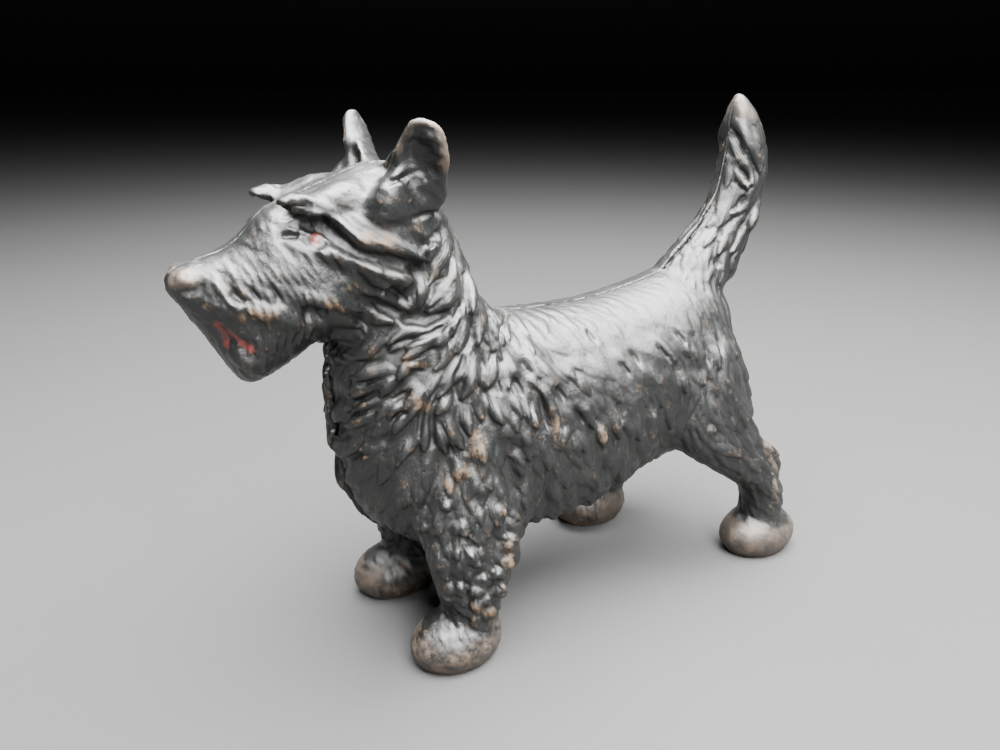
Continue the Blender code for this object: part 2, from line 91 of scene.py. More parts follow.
# The seam: half its gap, the band along it that stays sharp, how far the fine mesh rounds its edges, and
# the bands in which the rounding is filled up and made flat
SEAM_GAP = 0.15
SEAM_BAND = 2.2
SEAM_FILL = 0.45 * VOXEL
FILL_BAND = 1.3 * VOXEL
CORNER_BAND = 0.85 * VOXEL

# The chest, where the seam is an open groove. Each pair runs from no chest to all chest: how far the skin
# faces forward, its height and its place along the dog.
CHEST_FACING = (0.45, 0.8)
CHEST_TOP = (178, 172)
CHEST_FRONT = (-108, -104)
# There each half's edge stands forward or is broken away: its step, and the groove's width and depth
CHEST_SEAMS = {"left_half_casting": (0.0, 1.5, 3.2), "right_half_casting": (1.4, 0.7, 0.8)}
STEP_BAND = 16
GROOVE_EDGE = 0.6
GROOVE_NOISE = (0.3, 9.0)
JOINT_TOLERANCE = 0.02

# The walls are 4.6 mm thick. No sculpting goes deeper than this.
DEEPEST = 3.3

# Broad forms that the plain solids leave out: a width and a height in millimetres, and a line in pixels of
# the photograph. A negative height is a hollow.
FORMS = (
    # left ear: its hollow front, the rim around it and the folds at its foot
    (13.0, -3.2, ((421, 138), (419, 148), (420, 160), (423, 172), (427, 184))),
    (4.6, -1.6, ((424, 130), (415, 136), (409, 150), (407, 162))),
    (3.6, 1.0, ((396, 158), (401, 142), (410, 126), (422, 118))),
    (3.6, 1.5, ((430, 120), (438, 128), (443, 144), (445, 162), (443, 182))),
    (2.8, -2.2, ((384, 182), (396, 179), (410, 175))),
    (2.4, -1.2, ((408, 219), (424, 216), (440, 212))),
    (4.4, -2.4, ((407, 234), (417, 240), (427, 247), (436, 238), (446, 226))),
    (3.0, -1.6, ((427, 246), (427, 258), (426, 270))),
    # brow and the hollow under it, eye socket, and the dark furrow that runs back from the eye
    (3.6, 1.4, ((284, 202), (294, 198), (306, 199), (318, 205))),
    (4.4, -3.4, ((282, 211), (291, 208), (303, 207), (314, 209))),
    (4.0, 1.8, ((303, 215), (313, 214), (324, 219))),
    (5.6, 2.7, ((318, 208), (332, 217), (347, 230), (361, 242), (378, 250))),
    (7.0, -1.6, ((300, 232), (314, 234), (328, 240), (340, 249))),
    (4.8, -6.0, ((297, 222), (309, 223), (320, 224), (331, 229), (341, 239), (351, 248), (362, 254))),
    (5.4, -5.0, ((353, 247), (365, 255), (380, 260), (396, 262), (412, 265), (426, 275))),
    (2.8, -2.2, ((280, 235), (290, 234), (299, 236))),
    # the two bright ridges under the furrow and the dark hollows below them
    (6.5, 1.9, ((316, 252), (331, 254), (345, 262), (354, 271))),
    (7.0, 2.7, ((358, 263), (372, 271), (388, 276), (402, 281), (416, 292))),
    (7.0, 1.7, ((376, 240), (394, 249), (412, 256), (424, 262))),
    (13.0, -3.0, ((318, 266), (334, 268), (348, 276), (362, 290), (376, 300))),
    (8.0, -2.6, ((384, 291), (400, 293), (416, 298))),
    (5.4, -3.2, ((350, 304), (370, 304), (394, 310), (412, 320), (428, 321), (444, 313), (456, 312))),
    # nose, nostril, whiskered upper lip, mouth and chin
    (9.0, 1.1, ((176, 278), (187, 281))),
    (3.4, -1.7, ((199, 280), (198, 288), (188, 292), (175, 291))),
    (6.0, 1.2, ((200, 306), (214, 308), (230, 311), (246, 314))),
    (6.0, 2.0, ((246, 312), (262, 315), (278, 314), (290, 320), (296, 330))),
    (5.6, 1.7, ((298, 297), (314, 300), (330, 303), (344, 307))),
    (18.0, -2.0, ((208, 330), (228, 334), (250, 339), (272, 344))),
    (7.0, -2.6, ((300, 311), (314, 314), (330, 317))),
    (3.6, -1.6, ((229, 290), (236, 298), (247, 304))),
    (2.6, -1.2, ((249, 288), (255, 295), (260, 302))),
    (2.6, -1.2, ((267, 284), (274, 292), (281, 303))),
    (2.8, 1.5, ((215, 281), (221, 291), (229, 302), (241, 308))),
    (4.0, -1.2, ((213, 327), (219, 336), (225, 348))),
    (6.0, -1.2, ((223, 335), (237, 346), (255, 355))),
    (6.0, 1.1, ((229, 356), (243, 364), (260, 366))),
    # between chest and shoulder, and behind the elbow
    (9.0, -1.8, ((452, 336), (436, 358), (420, 380), (410, 400))),
    (12.0, -2.2, ((508, 436), (514, 462), (516, 490), (514, 512))),
    # tail: its flat smooth front and the two deep pockets behind it
    (5.0, -2.0, ((727, 124), (736, 140), (744, 158))),
    (4.0, -1.8, ((738, 166), (746, 174), (750, 184))),
    (4.0, -1.8, ((746, 196), (741, 206), (734, 214))),
    (4.0, -1.4, ((752, 208), (746, 222), (737, 236))),
)

# Single dark clefts between locks
CLEFTS = (
    # neck and ruff
    ((447, 226), (453, 244), (455, 262), (449, 278), (441, 292)),
    ((457, 262), (464, 280), (465, 298), (458, 316), (446, 326)),
    ((466, 270), (469, 290), (468, 310), (472, 330)),
    ((440, 232), (432, 246), (428, 260)),
    ((452, 318), (440, 330), (424, 337), (404, 340), (386, 348)),
    ((450, 326), (454, 340), (450, 352)),
    ((462, 320), (458, 336), (452, 350)),
    ((470, 320), (474, 336), (470, 346), (460, 352)),
    ((440, 350), (428, 352), (418, 356)),
    ((482, 300), (492, 316), (499, 332), (502, 346)),
    ((476, 346), (482, 358), (486, 370)),
    ((490, 330), (495, 342), (493, 356), (488, 368)),
    ((430, 286), (438, 282), (446, 276)),
    # chest
    ((385, 378), (368, 383), (350, 386)),
    ((378, 392), (364, 399), (351, 405)),
    ((380, 406), (366, 411), (352, 417)),
    ((382, 360), (370, 364), (358, 364)),
    ((408, 410), (397, 416), (392, 424)),
    ((412, 392), (400, 396), (392, 402)),
    ((352, 436), (345, 437), (338, 440)),
    ((374, 454), (362, 455), (350, 459)),
    ((424, 408), (420, 424), (419, 440)),
    ((432, 412), (432, 430), (432, 446)),
    ((438, 420), (446, 438), (452, 456)),
    # shoulder
    ((456, 372), (455, 386), (458, 400)),
    ((478, 382), (484, 390), (488, 400)),
    ((497, 374), (500, 386), (501, 398)),
    ((513, 378), (520, 388), (524, 398)),
    ((444, 384), (436, 394), (428, 402)),
    ((466, 352), (462, 366), (454, 378)),
    # flank
    ((519, 360), (525, 366), (530, 373)),
    ((526, 382), (538, 392), (545, 406), (549, 424)),
    ((566, 376), (575, 382), (582, 392)),
    ((555, 386), (561, 394), (567, 402)),
    ((587, 329), (591, 335), (597, 342)),
    ((620, 362), (625, 368), (631, 376)),
    ((630, 352), (636, 358), (641, 367)),
    ((658, 343), (664, 352), (671, 360)),
    ((530, 402), (533, 416), (533, 430)),
    ((540, 400), (545, 418), (551, 434)),
    ((573, 408), (580, 416), (584, 426)),
    ((592, 412), (598, 420), (603, 430)),
    ((618, 406), (623, 420), (624, 436)),
    ((676, 330), (683, 338), (688, 346)),
    ((690, 342), (694, 352), (697, 362)),
    ((704, 344), (709, 354), (709, 366)),
    ((716, 336), (722, 346), (722, 358)),
    ((650, 398), (655, 408), (656, 420)),
    ((510, 300), (506, 318), (500, 334)),
)
CLEFT_WIDTH = 2.4
CLEFT_DEPTH = 1.5

# The coat: kinds of lock, as length, width and height in millimetres
KINDS = {
    "smooth": (8.0, 3.0, 0.0),
    "faint": (13.0, 3.6, 0.2),
    "fine": (10.0, 2.8, 0.8),
    "whisker": (11.0, 2.8, 0.9),
    "lock": (22.0, 6.4, 2.0),
    "tuft": (15.0, 5.8, 1.9),
    "flame": (15.0, 5.6, 0.9),
    "curl": (10.0, 5.6, 1.7),
    "bump": (6.0, 5.4, 2.2),
}

# Single locks as the photograph shows them. They also say how the coat lies around them.
LOCKS = (
    # side of the muzzle and cheek
    ("fine", ((232, 268), (238, 276), (243, 284))),
    ("fine", ((250, 326), (254, 336), (256, 346))),
    ("fine", ((236, 356), (241, 365), (247, 372))),
    ("fine", ((264, 350), (265, 361), (264, 372))),
    ("smooth", ((190, 266), (204, 260), (218, 256))),
    ("smooth", ((215, 262), (230, 255), (246, 247))),
    ("smooth", ((180, 288), (190, 294), (200, 298))),
    ("smooth", ((262, 238), (274, 244), (286, 250))),
    ("smooth", ((265, 215), (270, 225), (272, 235))),
    ("faint", ((244, 258), (252, 264), (260, 272))),
    # forehead and side of the head
    ("smooth", ((290, 190), (310, 184), (330, 180))),
    ("smooth", ((330, 190), (350, 188), (370, 187))),
    ("smooth", ((380, 170), (392, 172), (404, 168))),
    ("faint", ((340, 212), (362, 222), (384, 236))),
    ("faint", ((350, 200), (375, 206), (400, 216))),
    ("fine", ((352, 228), (368, 238), (386, 246))),
    ("fine", ((392, 226), (405, 234), (420, 246))),
    ("fine", ((386, 236), (402, 246), (422, 258))),
    # cheek and throat behind the furrow
    ("fine", ((346, 264), (352, 278), (362, 292))),
    ("tuft", ((362, 276), (374, 284), (388, 288))),
    ("tuft", ((392, 284), (404, 292), (412, 306))),
    ("tuft", ((380, 300), (394, 304), (408, 310))),
    ("tuft", ((362, 312), (376, 318), (392, 322))),
    ("tuft", ((330, 318), (345, 322), (360, 326))),
    # neck, from behind the ear down and forward
    ("lock", ((450, 236), (446, 254), (436, 268), (430, 284))),
    ("lock", ((460, 268), (458, 286), (448, 302), (430, 314))),
    ("lock", ((452, 262), (448, 280), (440, 296), (428, 306))),
    ("lock", ((436, 232), (430, 246), (428, 262))),
    ("lock", ((420, 276), (424, 290), (420, 306))),
    ("lock", ((446, 320), (428, 326), (408, 332), (388, 344))),
    ("lock", ((454, 328), (440, 338), (424, 342), (408, 348))),
    ("lock", ((448, 342), (434, 348), (420, 350), (404, 358))),
    ("lock", ((470, 300), (470, 318), (464, 336), (458, 352))),
    ("lock", ((462, 250), (470, 272), (474, 292), (472, 312))),
    ("lock", ((474, 286), (480, 304), (481, 324), (478, 344))),
    ("lock", ((484, 296), (492, 312), (496, 330), (494, 350))),
    ("lock", ((494, 306), (503, 322), (508, 340))),
    # chest, towards the seam
    ("tuft", ((388, 370), (370, 375), (352, 377))),
    ("tuft", ((382, 386), (366, 392), (350, 396))),
    ("tuft", ((388, 396), (372, 403), (354, 411))),
    ("tuft", ((378, 412), (364, 418), (346, 426))),
    ("tuft", ((374, 350), (360, 353), (345, 354))),
    ("curl", ((402, 382), (390, 386), (382, 396))),
    ("curl", ((418, 362), (406, 370), (398, 380))),
    ("curl", ((410, 402), (398, 406), (388, 416))),
    ("curl", ((414, 414), (402, 422), (394, 434))),
    ("tuft", ((440, 358), (424, 364), (410, 366))),
    ("tuft", ((364, 440), (352, 446), (342, 456))),
    ("curl", ((380, 446), (370, 450), (362, 458))),
    ("curl", ((392, 466), (384, 474), (380, 484))),
    ("fine", ((370, 474), (366, 486), (364, 498))),
    ("fine", ((402, 482), (406, 494), (410, 506))),
    ("fine", ((430, 480), (436, 492), (440, 504))),
    # shoulder
    ("lock", ((470, 350), (462, 366), (450, 382), (438, 396))),
    ("lock", ((480, 350), (476, 368), (470, 386), (462, 398))),
    ("lock", ((494, 356), (492, 372), (486, 388))),
    ("tuft", ((506, 356), (507, 372), (508, 388))),
    ("tuft", ((478, 390), (478, 404), (482, 420))),
    ("tuft", ((490, 398), (496, 412), (503, 424))),
    ("tuft", ((508, 390), (514, 404), (522, 416))),
    ("tuft", ((452, 392), (446, 404), (436, 414))),
    ("tuft", ((466, 402), (466, 418), (470, 434))),
    ("lock", ((426, 414), (424, 432), (424, 450))),
    ("lock", ((436, 412), (440, 432), (446, 452))),
    ("lock", ((446, 412), (452, 430), (462, 448))),
    ("tuft", ((414, 430), (410, 446), (402, 460))),
    ("curl", ((452, 460), (456, 470), (458, 480))),
    ("curl", ((482, 440), (484, 452), (484, 464))),
    ("curl", ((500, 440), (503, 452), (504, 466))),
    ("tuft", ((503, 492), (509, 506), (515, 520))),
    # flank
    ("flame", ((510, 350), (520, 358), (528, 368))),
    ("flame", ((520, 370), (530, 378), (538, 390))),
    ("tuft", ((534, 384), (548, 398), (555, 416), (557, 432))),
    ("tuft", ((520, 396), (530, 410), (538, 428))),
    ("tuft", ((508, 404), (514, 418), (518, 432))),
    ("flame", ((546, 378), (558, 390), (566, 404))),
    ("flame", ((570, 374), (581, 382), (590, 394))),
    ("flame", ((556, 362), (568, 370), (576, 380))),
    ("faint", ((584, 326), (593, 334), (602, 344))),
    ("faint", ((612, 358), (622, 368), (630, 380))),
    ("faint", ((632, 348), (642, 358), (649, 370))),
    ("flame", ((660, 338), (670, 350), (678, 362))),
    ("flame", ((600, 380), (612, 390), (620, 402))),
    ("flame", ((634, 380), (642, 392), (648, 406))),
    ("tuft", ((578, 402), (588, 414), (594, 428))),
    ("tuft", ((564, 412), (568, 428), (562, 446))),
    ("tuft", ((608, 408), (616, 422), (620, 438))),
    ("tuft", ((632, 410), (638, 424), (640, 440))),
    ("curl", ((575, 432), (578, 443), (577, 454))),
    ("curl", ((600, 426), (604, 436), (604, 447))),
    ("tuft", ((520, 432), (526, 446), (530, 460))),
    ("curl", ((545, 450), (549, 460), (549, 470))),
    ("curl", ((563, 468), (566, 478), (567, 488))),
    ("curl", ((612, 456), (614, 466), (614, 476))),
    ("faint", ((520, 318), (533, 326), (546, 337))),
    ("faint", ((560, 320), (571, 327), (582, 337))),
    ("faint", ((600, 310), (613, 317), (626, 326))),
    ("faint", ((640, 310), (652, 317), (664, 327))),
    ("faint", ((548, 344), (558, 353), (568, 364))),
    ("faint", ((590, 350), (600, 358), (610, 369))),
    ("faint", ((680, 312), (688, 322), (694, 334))),
    ("smooth", ((545, 305), (560, 306), (575, 307))),
    ("smooth", ((605, 290), (620, 289), (635, 287))),
    # haunch and hind leg
    ("flame", ((680, 338), (690, 348), (698, 360))),
    ("tuft", ((655, 384), (660, 394), (662, 406))),
    ("tuft", ((680, 366), (685, 378), (686, 392))),
    ("tuft", ((700, 358), (704, 370), (704, 384))),
    ("tuft", ((668, 400), (671, 414), (671, 428))),
    ("tuft", ((714, 340), (718, 354), (719, 368))),
    ("fine", ((705, 395), (707, 410), (707, 425))),
    ("fine", ((725, 385), (729, 398), (731, 412))),
    ("curl", ((742, 405), (745, 416), (746, 427))),
    ("fine", ((690, 425), (694, 438), (700, 450))),
    ("tuft", ((712, 446), (726, 450), (740, 456))),
    ("curl", ((752, 440), (762, 444), (770, 450))),
    ("tuft", ((754, 456), (765, 464), (773, 476))),
    ("fine", ((748, 480), (753, 494), (758, 506))),
    # tail: deep slanted locks behind, smooth in front
    ("lock", ((738, 122), (748, 136), (756, 154), (760, 172))),
    ("lock", ((728, 132), (738, 148), (746, 166), (752, 184))),
    ("tuft", ((734, 162), (742, 174), (748, 188))),
    ("lock", ((762, 172), (756, 190), (746, 204), (732, 214))),
    ("lock", ((764, 190), (758, 212), (748, 232))),
    ("tuft", ((748, 226), (741, 240), (732, 252))),
    ("tuft", ((732, 226), (726, 240), (718, 254))),
    ("smooth", ((722, 160), (714, 182), (708, 204))),
    ("smooth", ((712, 215), (700, 235), (688, 255))),
    ("smooth", ((738, 104), (745, 112), (752, 122))),
    # fore leg: a rough front and knots of hair behind
    ("bump", ((462, 526), (464, 530), (467, 534))),
    ("bump", ((470, 556), (475, 561), (479, 566))),
    ("bump", ((455, 588), (460, 591), (466, 592))),
    ("bump", ((478, 582), (482, 588), (484, 594))),
    ("bump", ((474, 600), (476, 606), (478, 612))),
    ("bump", ((488, 604), (490, 610), (491, 616))),
    ("bump", ((444, 500), (446, 505), (449, 510))),
    ("curl", ((452, 545), (454, 552), (458, 560))),
    ("curl", ((484, 520), (487, 528), (488, 537))),
    ("smooth", ((430, 640), (445, 645), (460, 648))),
    ("smooth", ((475, 640), (485, 645), (492, 648))),
    ("smooth", ((448, 616), (450, 624), (450, 634))),
    ("smooth", ((740, 535), (755, 537), (770, 535))),
    ("smooth", ((730, 528), (735, 535), (740, 545))),
)

# Rows of like locks: their kind and number, and the first and the last of them
FANS = (
    ("whisker", 12, ((224, 262), (233, 275), (241, 287)), ((314, 258), (326, 271), (336, 284))),
    ("whisker", 13, ((233, 278), (241, 290), (249, 303)), ((318, 272), (329, 285), (339, 297))),
    ("whisker", 12, ((240, 294), (247, 306), (255, 320)), ((322, 286), (332, 298), (343, 312))),
    ("whisker", 6, ((262, 312), (269, 323), (273, 337)), ((296, 308), (302, 319), (305, 331))),
    ("fine", 8, ((244, 332), (248, 346), (250, 360)), ((312, 318), (312, 328), (308, 340))),
)
# How far each lock of a row is shifted along its own line, and the golden section that spreads the shifts
FAN_SHIFT = 0.35
GOLDEN_SHARE = 0.618

# How the coat lies where the photograph doesn't show it: a place and a direction in millimetres
UNSEEN_LIE = (
    ("fine", (40, -12, 40), (1, 0, 0)),
    ("fine", (-20, -8, 42), (1, 0, 0)),
    ("fine", (0, -20, 42), (1, 0, 0)),
    ("fine", (-57, -20, 34), (0, 0, -1)),
    ("fine", (75, -14, 50), (0, 0, -1)),
    ("smooth", (-57, -31, 8), (0, 0, -1)),
    ("smooth", (128, -36, 8), (0, 0, -1)),
    ("smooth", (68, -36, 8), (0, 0, -1)),
    ("lock", (-48, -8, 205), (1, 0, -0.6)),
    ("lock", (-38, -8, 185), (0.5, -0.2, -1)),
    ("tuft", (118, -12, 130), (0.2, -0.4, -1)),
    ("tuft", (122, -22, 105), (0.3, -0.3, -1)),
    ("lock", (133, -4, 190), (-0.3, -0.7, -1)),
    ("lock", (132, -4, 165), (-0.3, -0.7, -1)),
    ("curl", (-35, -30, 45), (0.3, 0, -1)),
    ("curl", (75, -40, 50), (0, 0, -1)),
)

# How far a known direction reaches, and how many points are worked out at once
FLOW_NEAR = 9.0
FLOW_FAR = 28.0
FLOW_FAR_SHARE = 0.05
FLOW_CHUNK = 8000

# The locks in between: how many are tried, and how close they may stand as shares of length and width
LOCK_POINTS = 8
LOCK_CANDIDATES = 36000
LOCK_SPACING = (0.5, 0.72)
LOCK_CELL = 8.0
LEAST_HEIGHT = 0.06
# How much their sizes vary, and how much larger than their kind the traced ones are in width and height
LENGTHS = (0.75, 1.25)
WIDTHS = (0.85, 1.35)
HEIGHTS = (0.6, 1.05)
TRACED_GAIN = (1.1, 1.2)
# Their bend and curl: how far neighbours turn together, the size of such a patch, and each lock's own turn
BEND = (0.35, 16.0, 0.14)
CURL = (0.7, 11.0, 0.35)
# How they lie on the skin
LOCK_SINK = 0.6
LOCK_REACH = 3.6
LOCK_CLEARANCE = 0.2
SAME_SIDE = 0.15
# Their outline is part of a sine's arch. They are lower at the root, and the wide ones are made of strands.
LEAF_START = 0.16
LEAF_SPAN = 0.80
LEAF_FULLNESS = 0.6
ROOT_HEIGHT = 0.3
TIP_START = 0.7
STRAND_WIDTH = 2.3
STRAND_SHARE = 0.02
STRAND_LOCKS = 3

# Small unevenness of the whole skin, as a height, a size and a seed, and the last smoothing of all
UNEVEN_SKIN = ((0.10, 5.0, 1), (0.05, 2.2, 2))
LAST_SMOOTHING = 0.35

# The width of a stroke's foot as a share of its named width, on each side
STROKE_REACH = 0.75
# How far apart the photograph is sampled along a traced line, in pixels
TRACE_STEP = 3.0

# Single knobs and hollows: a pixel, a radius and a height in millimetres
KNOBS = (
    ((315, 238), 5.4, -1.7),
    ((315, 238), 3.3, 2.1),
    ((184, 280), 6.5, 0.8),
    ((461, 528), 4.4, 2.6),
    ((471, 540), 3.0, 1.4),
    ((470, 559), 3.8, 2.2),
    ((478, 567), 4.0, 2.4),
    ((468, 576), 2.8, 1.4),
    ((460, 588), 4.0, 2.2),
    ((475, 592), 3.0, 1.6),
    ((484, 580), 3.4, 1.8),
    ((496, 574), 3.8, 2.2),
    ((503, 592), 4.4, 2.8),
    ((487, 600), 3.8, 2.0),
    ((476, 604), 3.6, 2.0),
    ((487, 612), 4.2, 2.2),
    ((475, 622), 3.4, 1.4),
    ((508, 543), 5.2, 3.2),
    ((508, 562), 5.4, 3.2),
    ((512, 520), 5.0, 2.6),
    ((503, 510), 4.4, 2.2),
    ((425, 528), 3.4, 1.6),
    ((711, 431), 3.5, 1.4),
    ((768, 447), 5.0, 1.4),
    ((718, 263), 3.0, -1.4),
    ((720, 232), 2.2, -1.0),
)

# The blunt tip of the brow, which is thicker on both halves
BROW_TIP = (-112.0, -16.8, 203.2)
BROW_TIP_RADIUS = 5.5
BROW_TIP_SWELLING = 1.1

# Colour where the photograph shows it: what it is, its radius in millimetres and its line in pixels
MARKS = (
    ("red", 3.2, ((315, 235), (316, 241))),
    ("red", 3.4, ((216, 329), (222, 336))),
    ("red", 2.4, ((220, 335), (224, 348))),
    ("red", 2.0, ((225, 336), (238, 346))),
    ("red", 2.6, ((239, 347), (252, 353))),
    ("bare", 7.0, ((174, 277), (190, 280))),
    ("bare", 3.0, ((398, 152), (404, 138), (413, 123), (424, 119), (436, 124), (443, 140), (446, 168))),
    ("bare", 7.0, ((739, 100), (748, 112))),
    ("rust", 3.8, ((257, 316), (268, 318))),
    ("rust", 4.0, ((332, 304), (338, 310))),
    ("rust", 5.0, ((372, 236), (386, 236))),
    ("rust", 6.0, ((478, 440), (477, 456))),
    ("rust", 5.0, ((470, 466), (452, 484))),
    ("rust", 4.5, ((558, 424), (557, 444))),
    ("rust", 3.6, ((603, 428), (604, 438))),
    ("rust", 4.0, ((504, 544), (507, 562))),
    ("rust", 4.0, ((500, 588), (504, 594))),
    ("rust", 3.5, ((408, 362), (420, 366))),
    ("rust", 3.5, ((420, 404), (428, 408))),
    ("rust", 2.4, ((204, 307), (210, 309))),
    ("rust", 2.4, ((240, 316), (243, 322))),
    ("rust", 3.0, ((474, 604), (486, 612))),
    ("rust", 3.0, ((460, 588), (464, 586))),
    ("bare", 5.0, ((765, 444), (775, 470), (776, 500))),
)
# How steeply a mark rises from its rim, and how high up the paws are worn bare
MARK_GAIN = 1.6
PAW_BARE_HEIGHT = 19.0
# The legs' light wear and the rust around the soles: how strong, and the heights from none of it to all
LOW_WEAR = 0.2
LOW_WEAR_HEIGHTS = (90, 40)
SOLE_RUST = 0.8
SOLE_RUST_HEIGHTS = (6.5, 1.0)
# How far a point stands out from its neighbours where it counts as fully convex
CONVEX_FULL = 0.09 * VOXEL

# Linear colours. A pair holds the darkest and the lightest shade. The sky's are its horizon and its top.
BLACK_PAINT = ((0.0014, 0.0017, 0.0018, 1), (0.0036, 0.0040, 0.0038, 1))
DUST = (0.016, 0.015, 0.012, 1)
IRON = ((0.016, 0.013, 0.011, 1), (0.085, 0.068, 0.054, 1))
RUST = ((0.022, 0.011, 0.006, 1), (0.088, 0.052, 0.023, 1))
RED_PAINT = ((0.030, 0.006, 0.005, 1), (0.080, 0.013, 0.010, 1))
STEEL = ((0.20, 0.185, 0.17, 1), (0.42, 0.40, 0.37, 1))
SCREW_PAINT = (0.02, 0.02, 0.02, 1)
FLOOR_GREY = ((0.036, 0.0365, 0.036, 1), (0.044, 0.044, 0.0435, 1))
SKY = ((0.0015, 0.0016, 0.0016, 1), (0.036, 0.037, 0.038, 1))
# The fine waves within a lock, across it in millimetres, and how high the bumps are in metres
WAVE_LENGTH = 1.15
METAL_BUMP = 0.001
FLOOR_BUMP = 0.0003

# The studio in metres and watts: the floor's side, and each lamp's name, place, power and size
FLOOR_SIZE = 60
LAMPS = (
    ("top_softbox", (0.10, -0.12, 1.02), 350, (1.2, 1.2)),
    ("front_softbox", (-0.15, -0.85, 0.70), 30, (0.45, 0.40)),
)
LAMP_AIM = Vector((0.0, 0.0, 0.1))


def photo_turn():
    """The camera's rotation, whose own +Z points back to the viewer."""
    level, rise = math.cos(CAMERA_TILT), math.sin(CAMERA_TILT)
    back = Vector((math.sin(CAMERA_AZIMUTH) * level, -math.cos(CAMERA_AZIMUTH) * level, rise))
    return (-back).to_track_quat("-Z", "Y")


def photo_ray(pixel):
    """The direction in which the camera sees a pixel of the photograph."""
    across = (pixel[0] - PICTURE_SIZE[0] / 2) / FOCAL_PIXELS
    up = (PICTURE_SIZE[1] / 2 - pixel[1]) / FOCAL_PIXELS
    return (photo_turn() @ Vector((across, up, -1))).normalized()


def noise(points, size, seed):
    """Smooth noise between -1 and 1 that changes over about one size."""
    # The large numbers only scramble the cell's place into what looks random
    scaled = points / size + 31.7 * seed
    cell = np.floor(scaled).astype(np.int64)
    part = scaled - cell
    part = part * part * (3 - 2 * part)
    total = np.zeros(len(points))
    for corner in np.ndindex(2, 2, 2):
        x, y, z = (cell + corner).T
        mixed = (x * 73856093) ^ (y * 19349663) ^ (z * 83492791)
        mixed = ((mixed ^ (mixed >> 13)) * 1274126177) & 0xFFFFFFFF
        mixed = mixed ^ (mixed >> 16)
        share = np.prod(np.where(corner, part, 1 - part), axis=1)
        total += share * ((mixed & 0xFFFF) / 32767.5 - 1)
    return total


def smooth_step(low, high, value):
    """0 below low, 1 above high and a soft turn between them."""
    share = np.clip((value - low) / (high - low), 0, 1)
    return share * share * (3 - 2 * share)


def unit(vectors):
    return vectors / np.maximum(np.linalg.norm(vectors, axis=-1, keepdims=True), 1e-9)


def read_array(items, name, width, kind=float):
    """A property of all items of a mesh, with a row for each item."""
    flat = np.empty(len(items) * width, kind)
    items.foreach_get(name, flat)
    return flat.reshape(-1, width)


def applied(obj):
    """A mesh with the object's modifiers applied, which are then taken off."""
    mesh = bpy.data.meshes.new_from_object(obj.evaluated_get(bpy.context.evaluated_depsgraph_get()))
    obj.modifiers.clear()
    return mesh


def welded_copy(node, name):
    """A new object with the node's mesh, its split corners welded and its sharp edges creased."""
    mesh = node.data.copy()
    bm = bmesh.new()
    bm.from_mesh(mesh)
    bmesh.ops.remove_doubles(bm, verts=bm.verts, dist=WELD_DISTANCE)
    crease = bm.edges.layers.float.new("crease_edge")
    for edge in bm.edges:
        if edge.calc_face_angle(0.0) > CREASE_ANGLE:
            edge[crease] = 1.0
    bm.to_mesh(mesh)
    bm.free()
    obj = bpy.data.objects.new(name, mesh)
    bpy.context.scene.collection.objects.link(obj)
    return obj


def remeshed(obj):
    """The object's mesh, rounded over its facets and remeshed into even small squares."""
    facets = obj.modifiers.new("facets", "SUBSURF")
    facets.levels = FACET_LEVELS
    facets.render_levels = FACET_LEVELS
    even = obj.modifiers.new("even", "REMESH")
    even.mode = "VOXEL"
    even.voxel_size = VOXEL * MM
    return applied(obj)


def rays_around_z():
    """Directions spread evenly over the half sphere above a face."""
    golden = math.pi * (3 - math.sqrt(5))
    rays = []
    for k in range(ESCAPE_RAYS):
        height = 1 - (k + 0.5) / ESCAPE_RAYS
        ring = math.sqrt(1 - height * height)
        rays.append(Vector((ring * math.cos(golden * k), ring * math.sin(golden * k), height)))
    return rays


def outside_faces(nodes):
    """For each node, its tree for nearest faces and whether each face sees the open air."""
    points, faces = [], []
    for node in nodes:
        start = len(points)
        points += [v.co.copy() for v in node.data.vertices]
        faces += [[start + i for i in p.vertices] for p in node.data.polygons]
    everything = BVHTree.FromPolygons(points, faces)
    rays = rays_around_z()
    found = {}
    for node in nodes:
        seen = []
        for polygon in node.data.polygons:
            turn = polygon.normal.to_track_quat("Z", "Y")
            start = polygon.center + polygon.normal * RAY_LIFT
            free = sum(everything.ray_cast(start, turn @ ray)[0] is None for ray in rays)
            seen.append(free > 1)
        own = [list(p.vertices) for p in node.data.polygons]
        tree = BVHTree.FromPolygons([v.co for v in node.data.vertices], own)
        found[node.name] = (tree, np.array(seen))
    return found


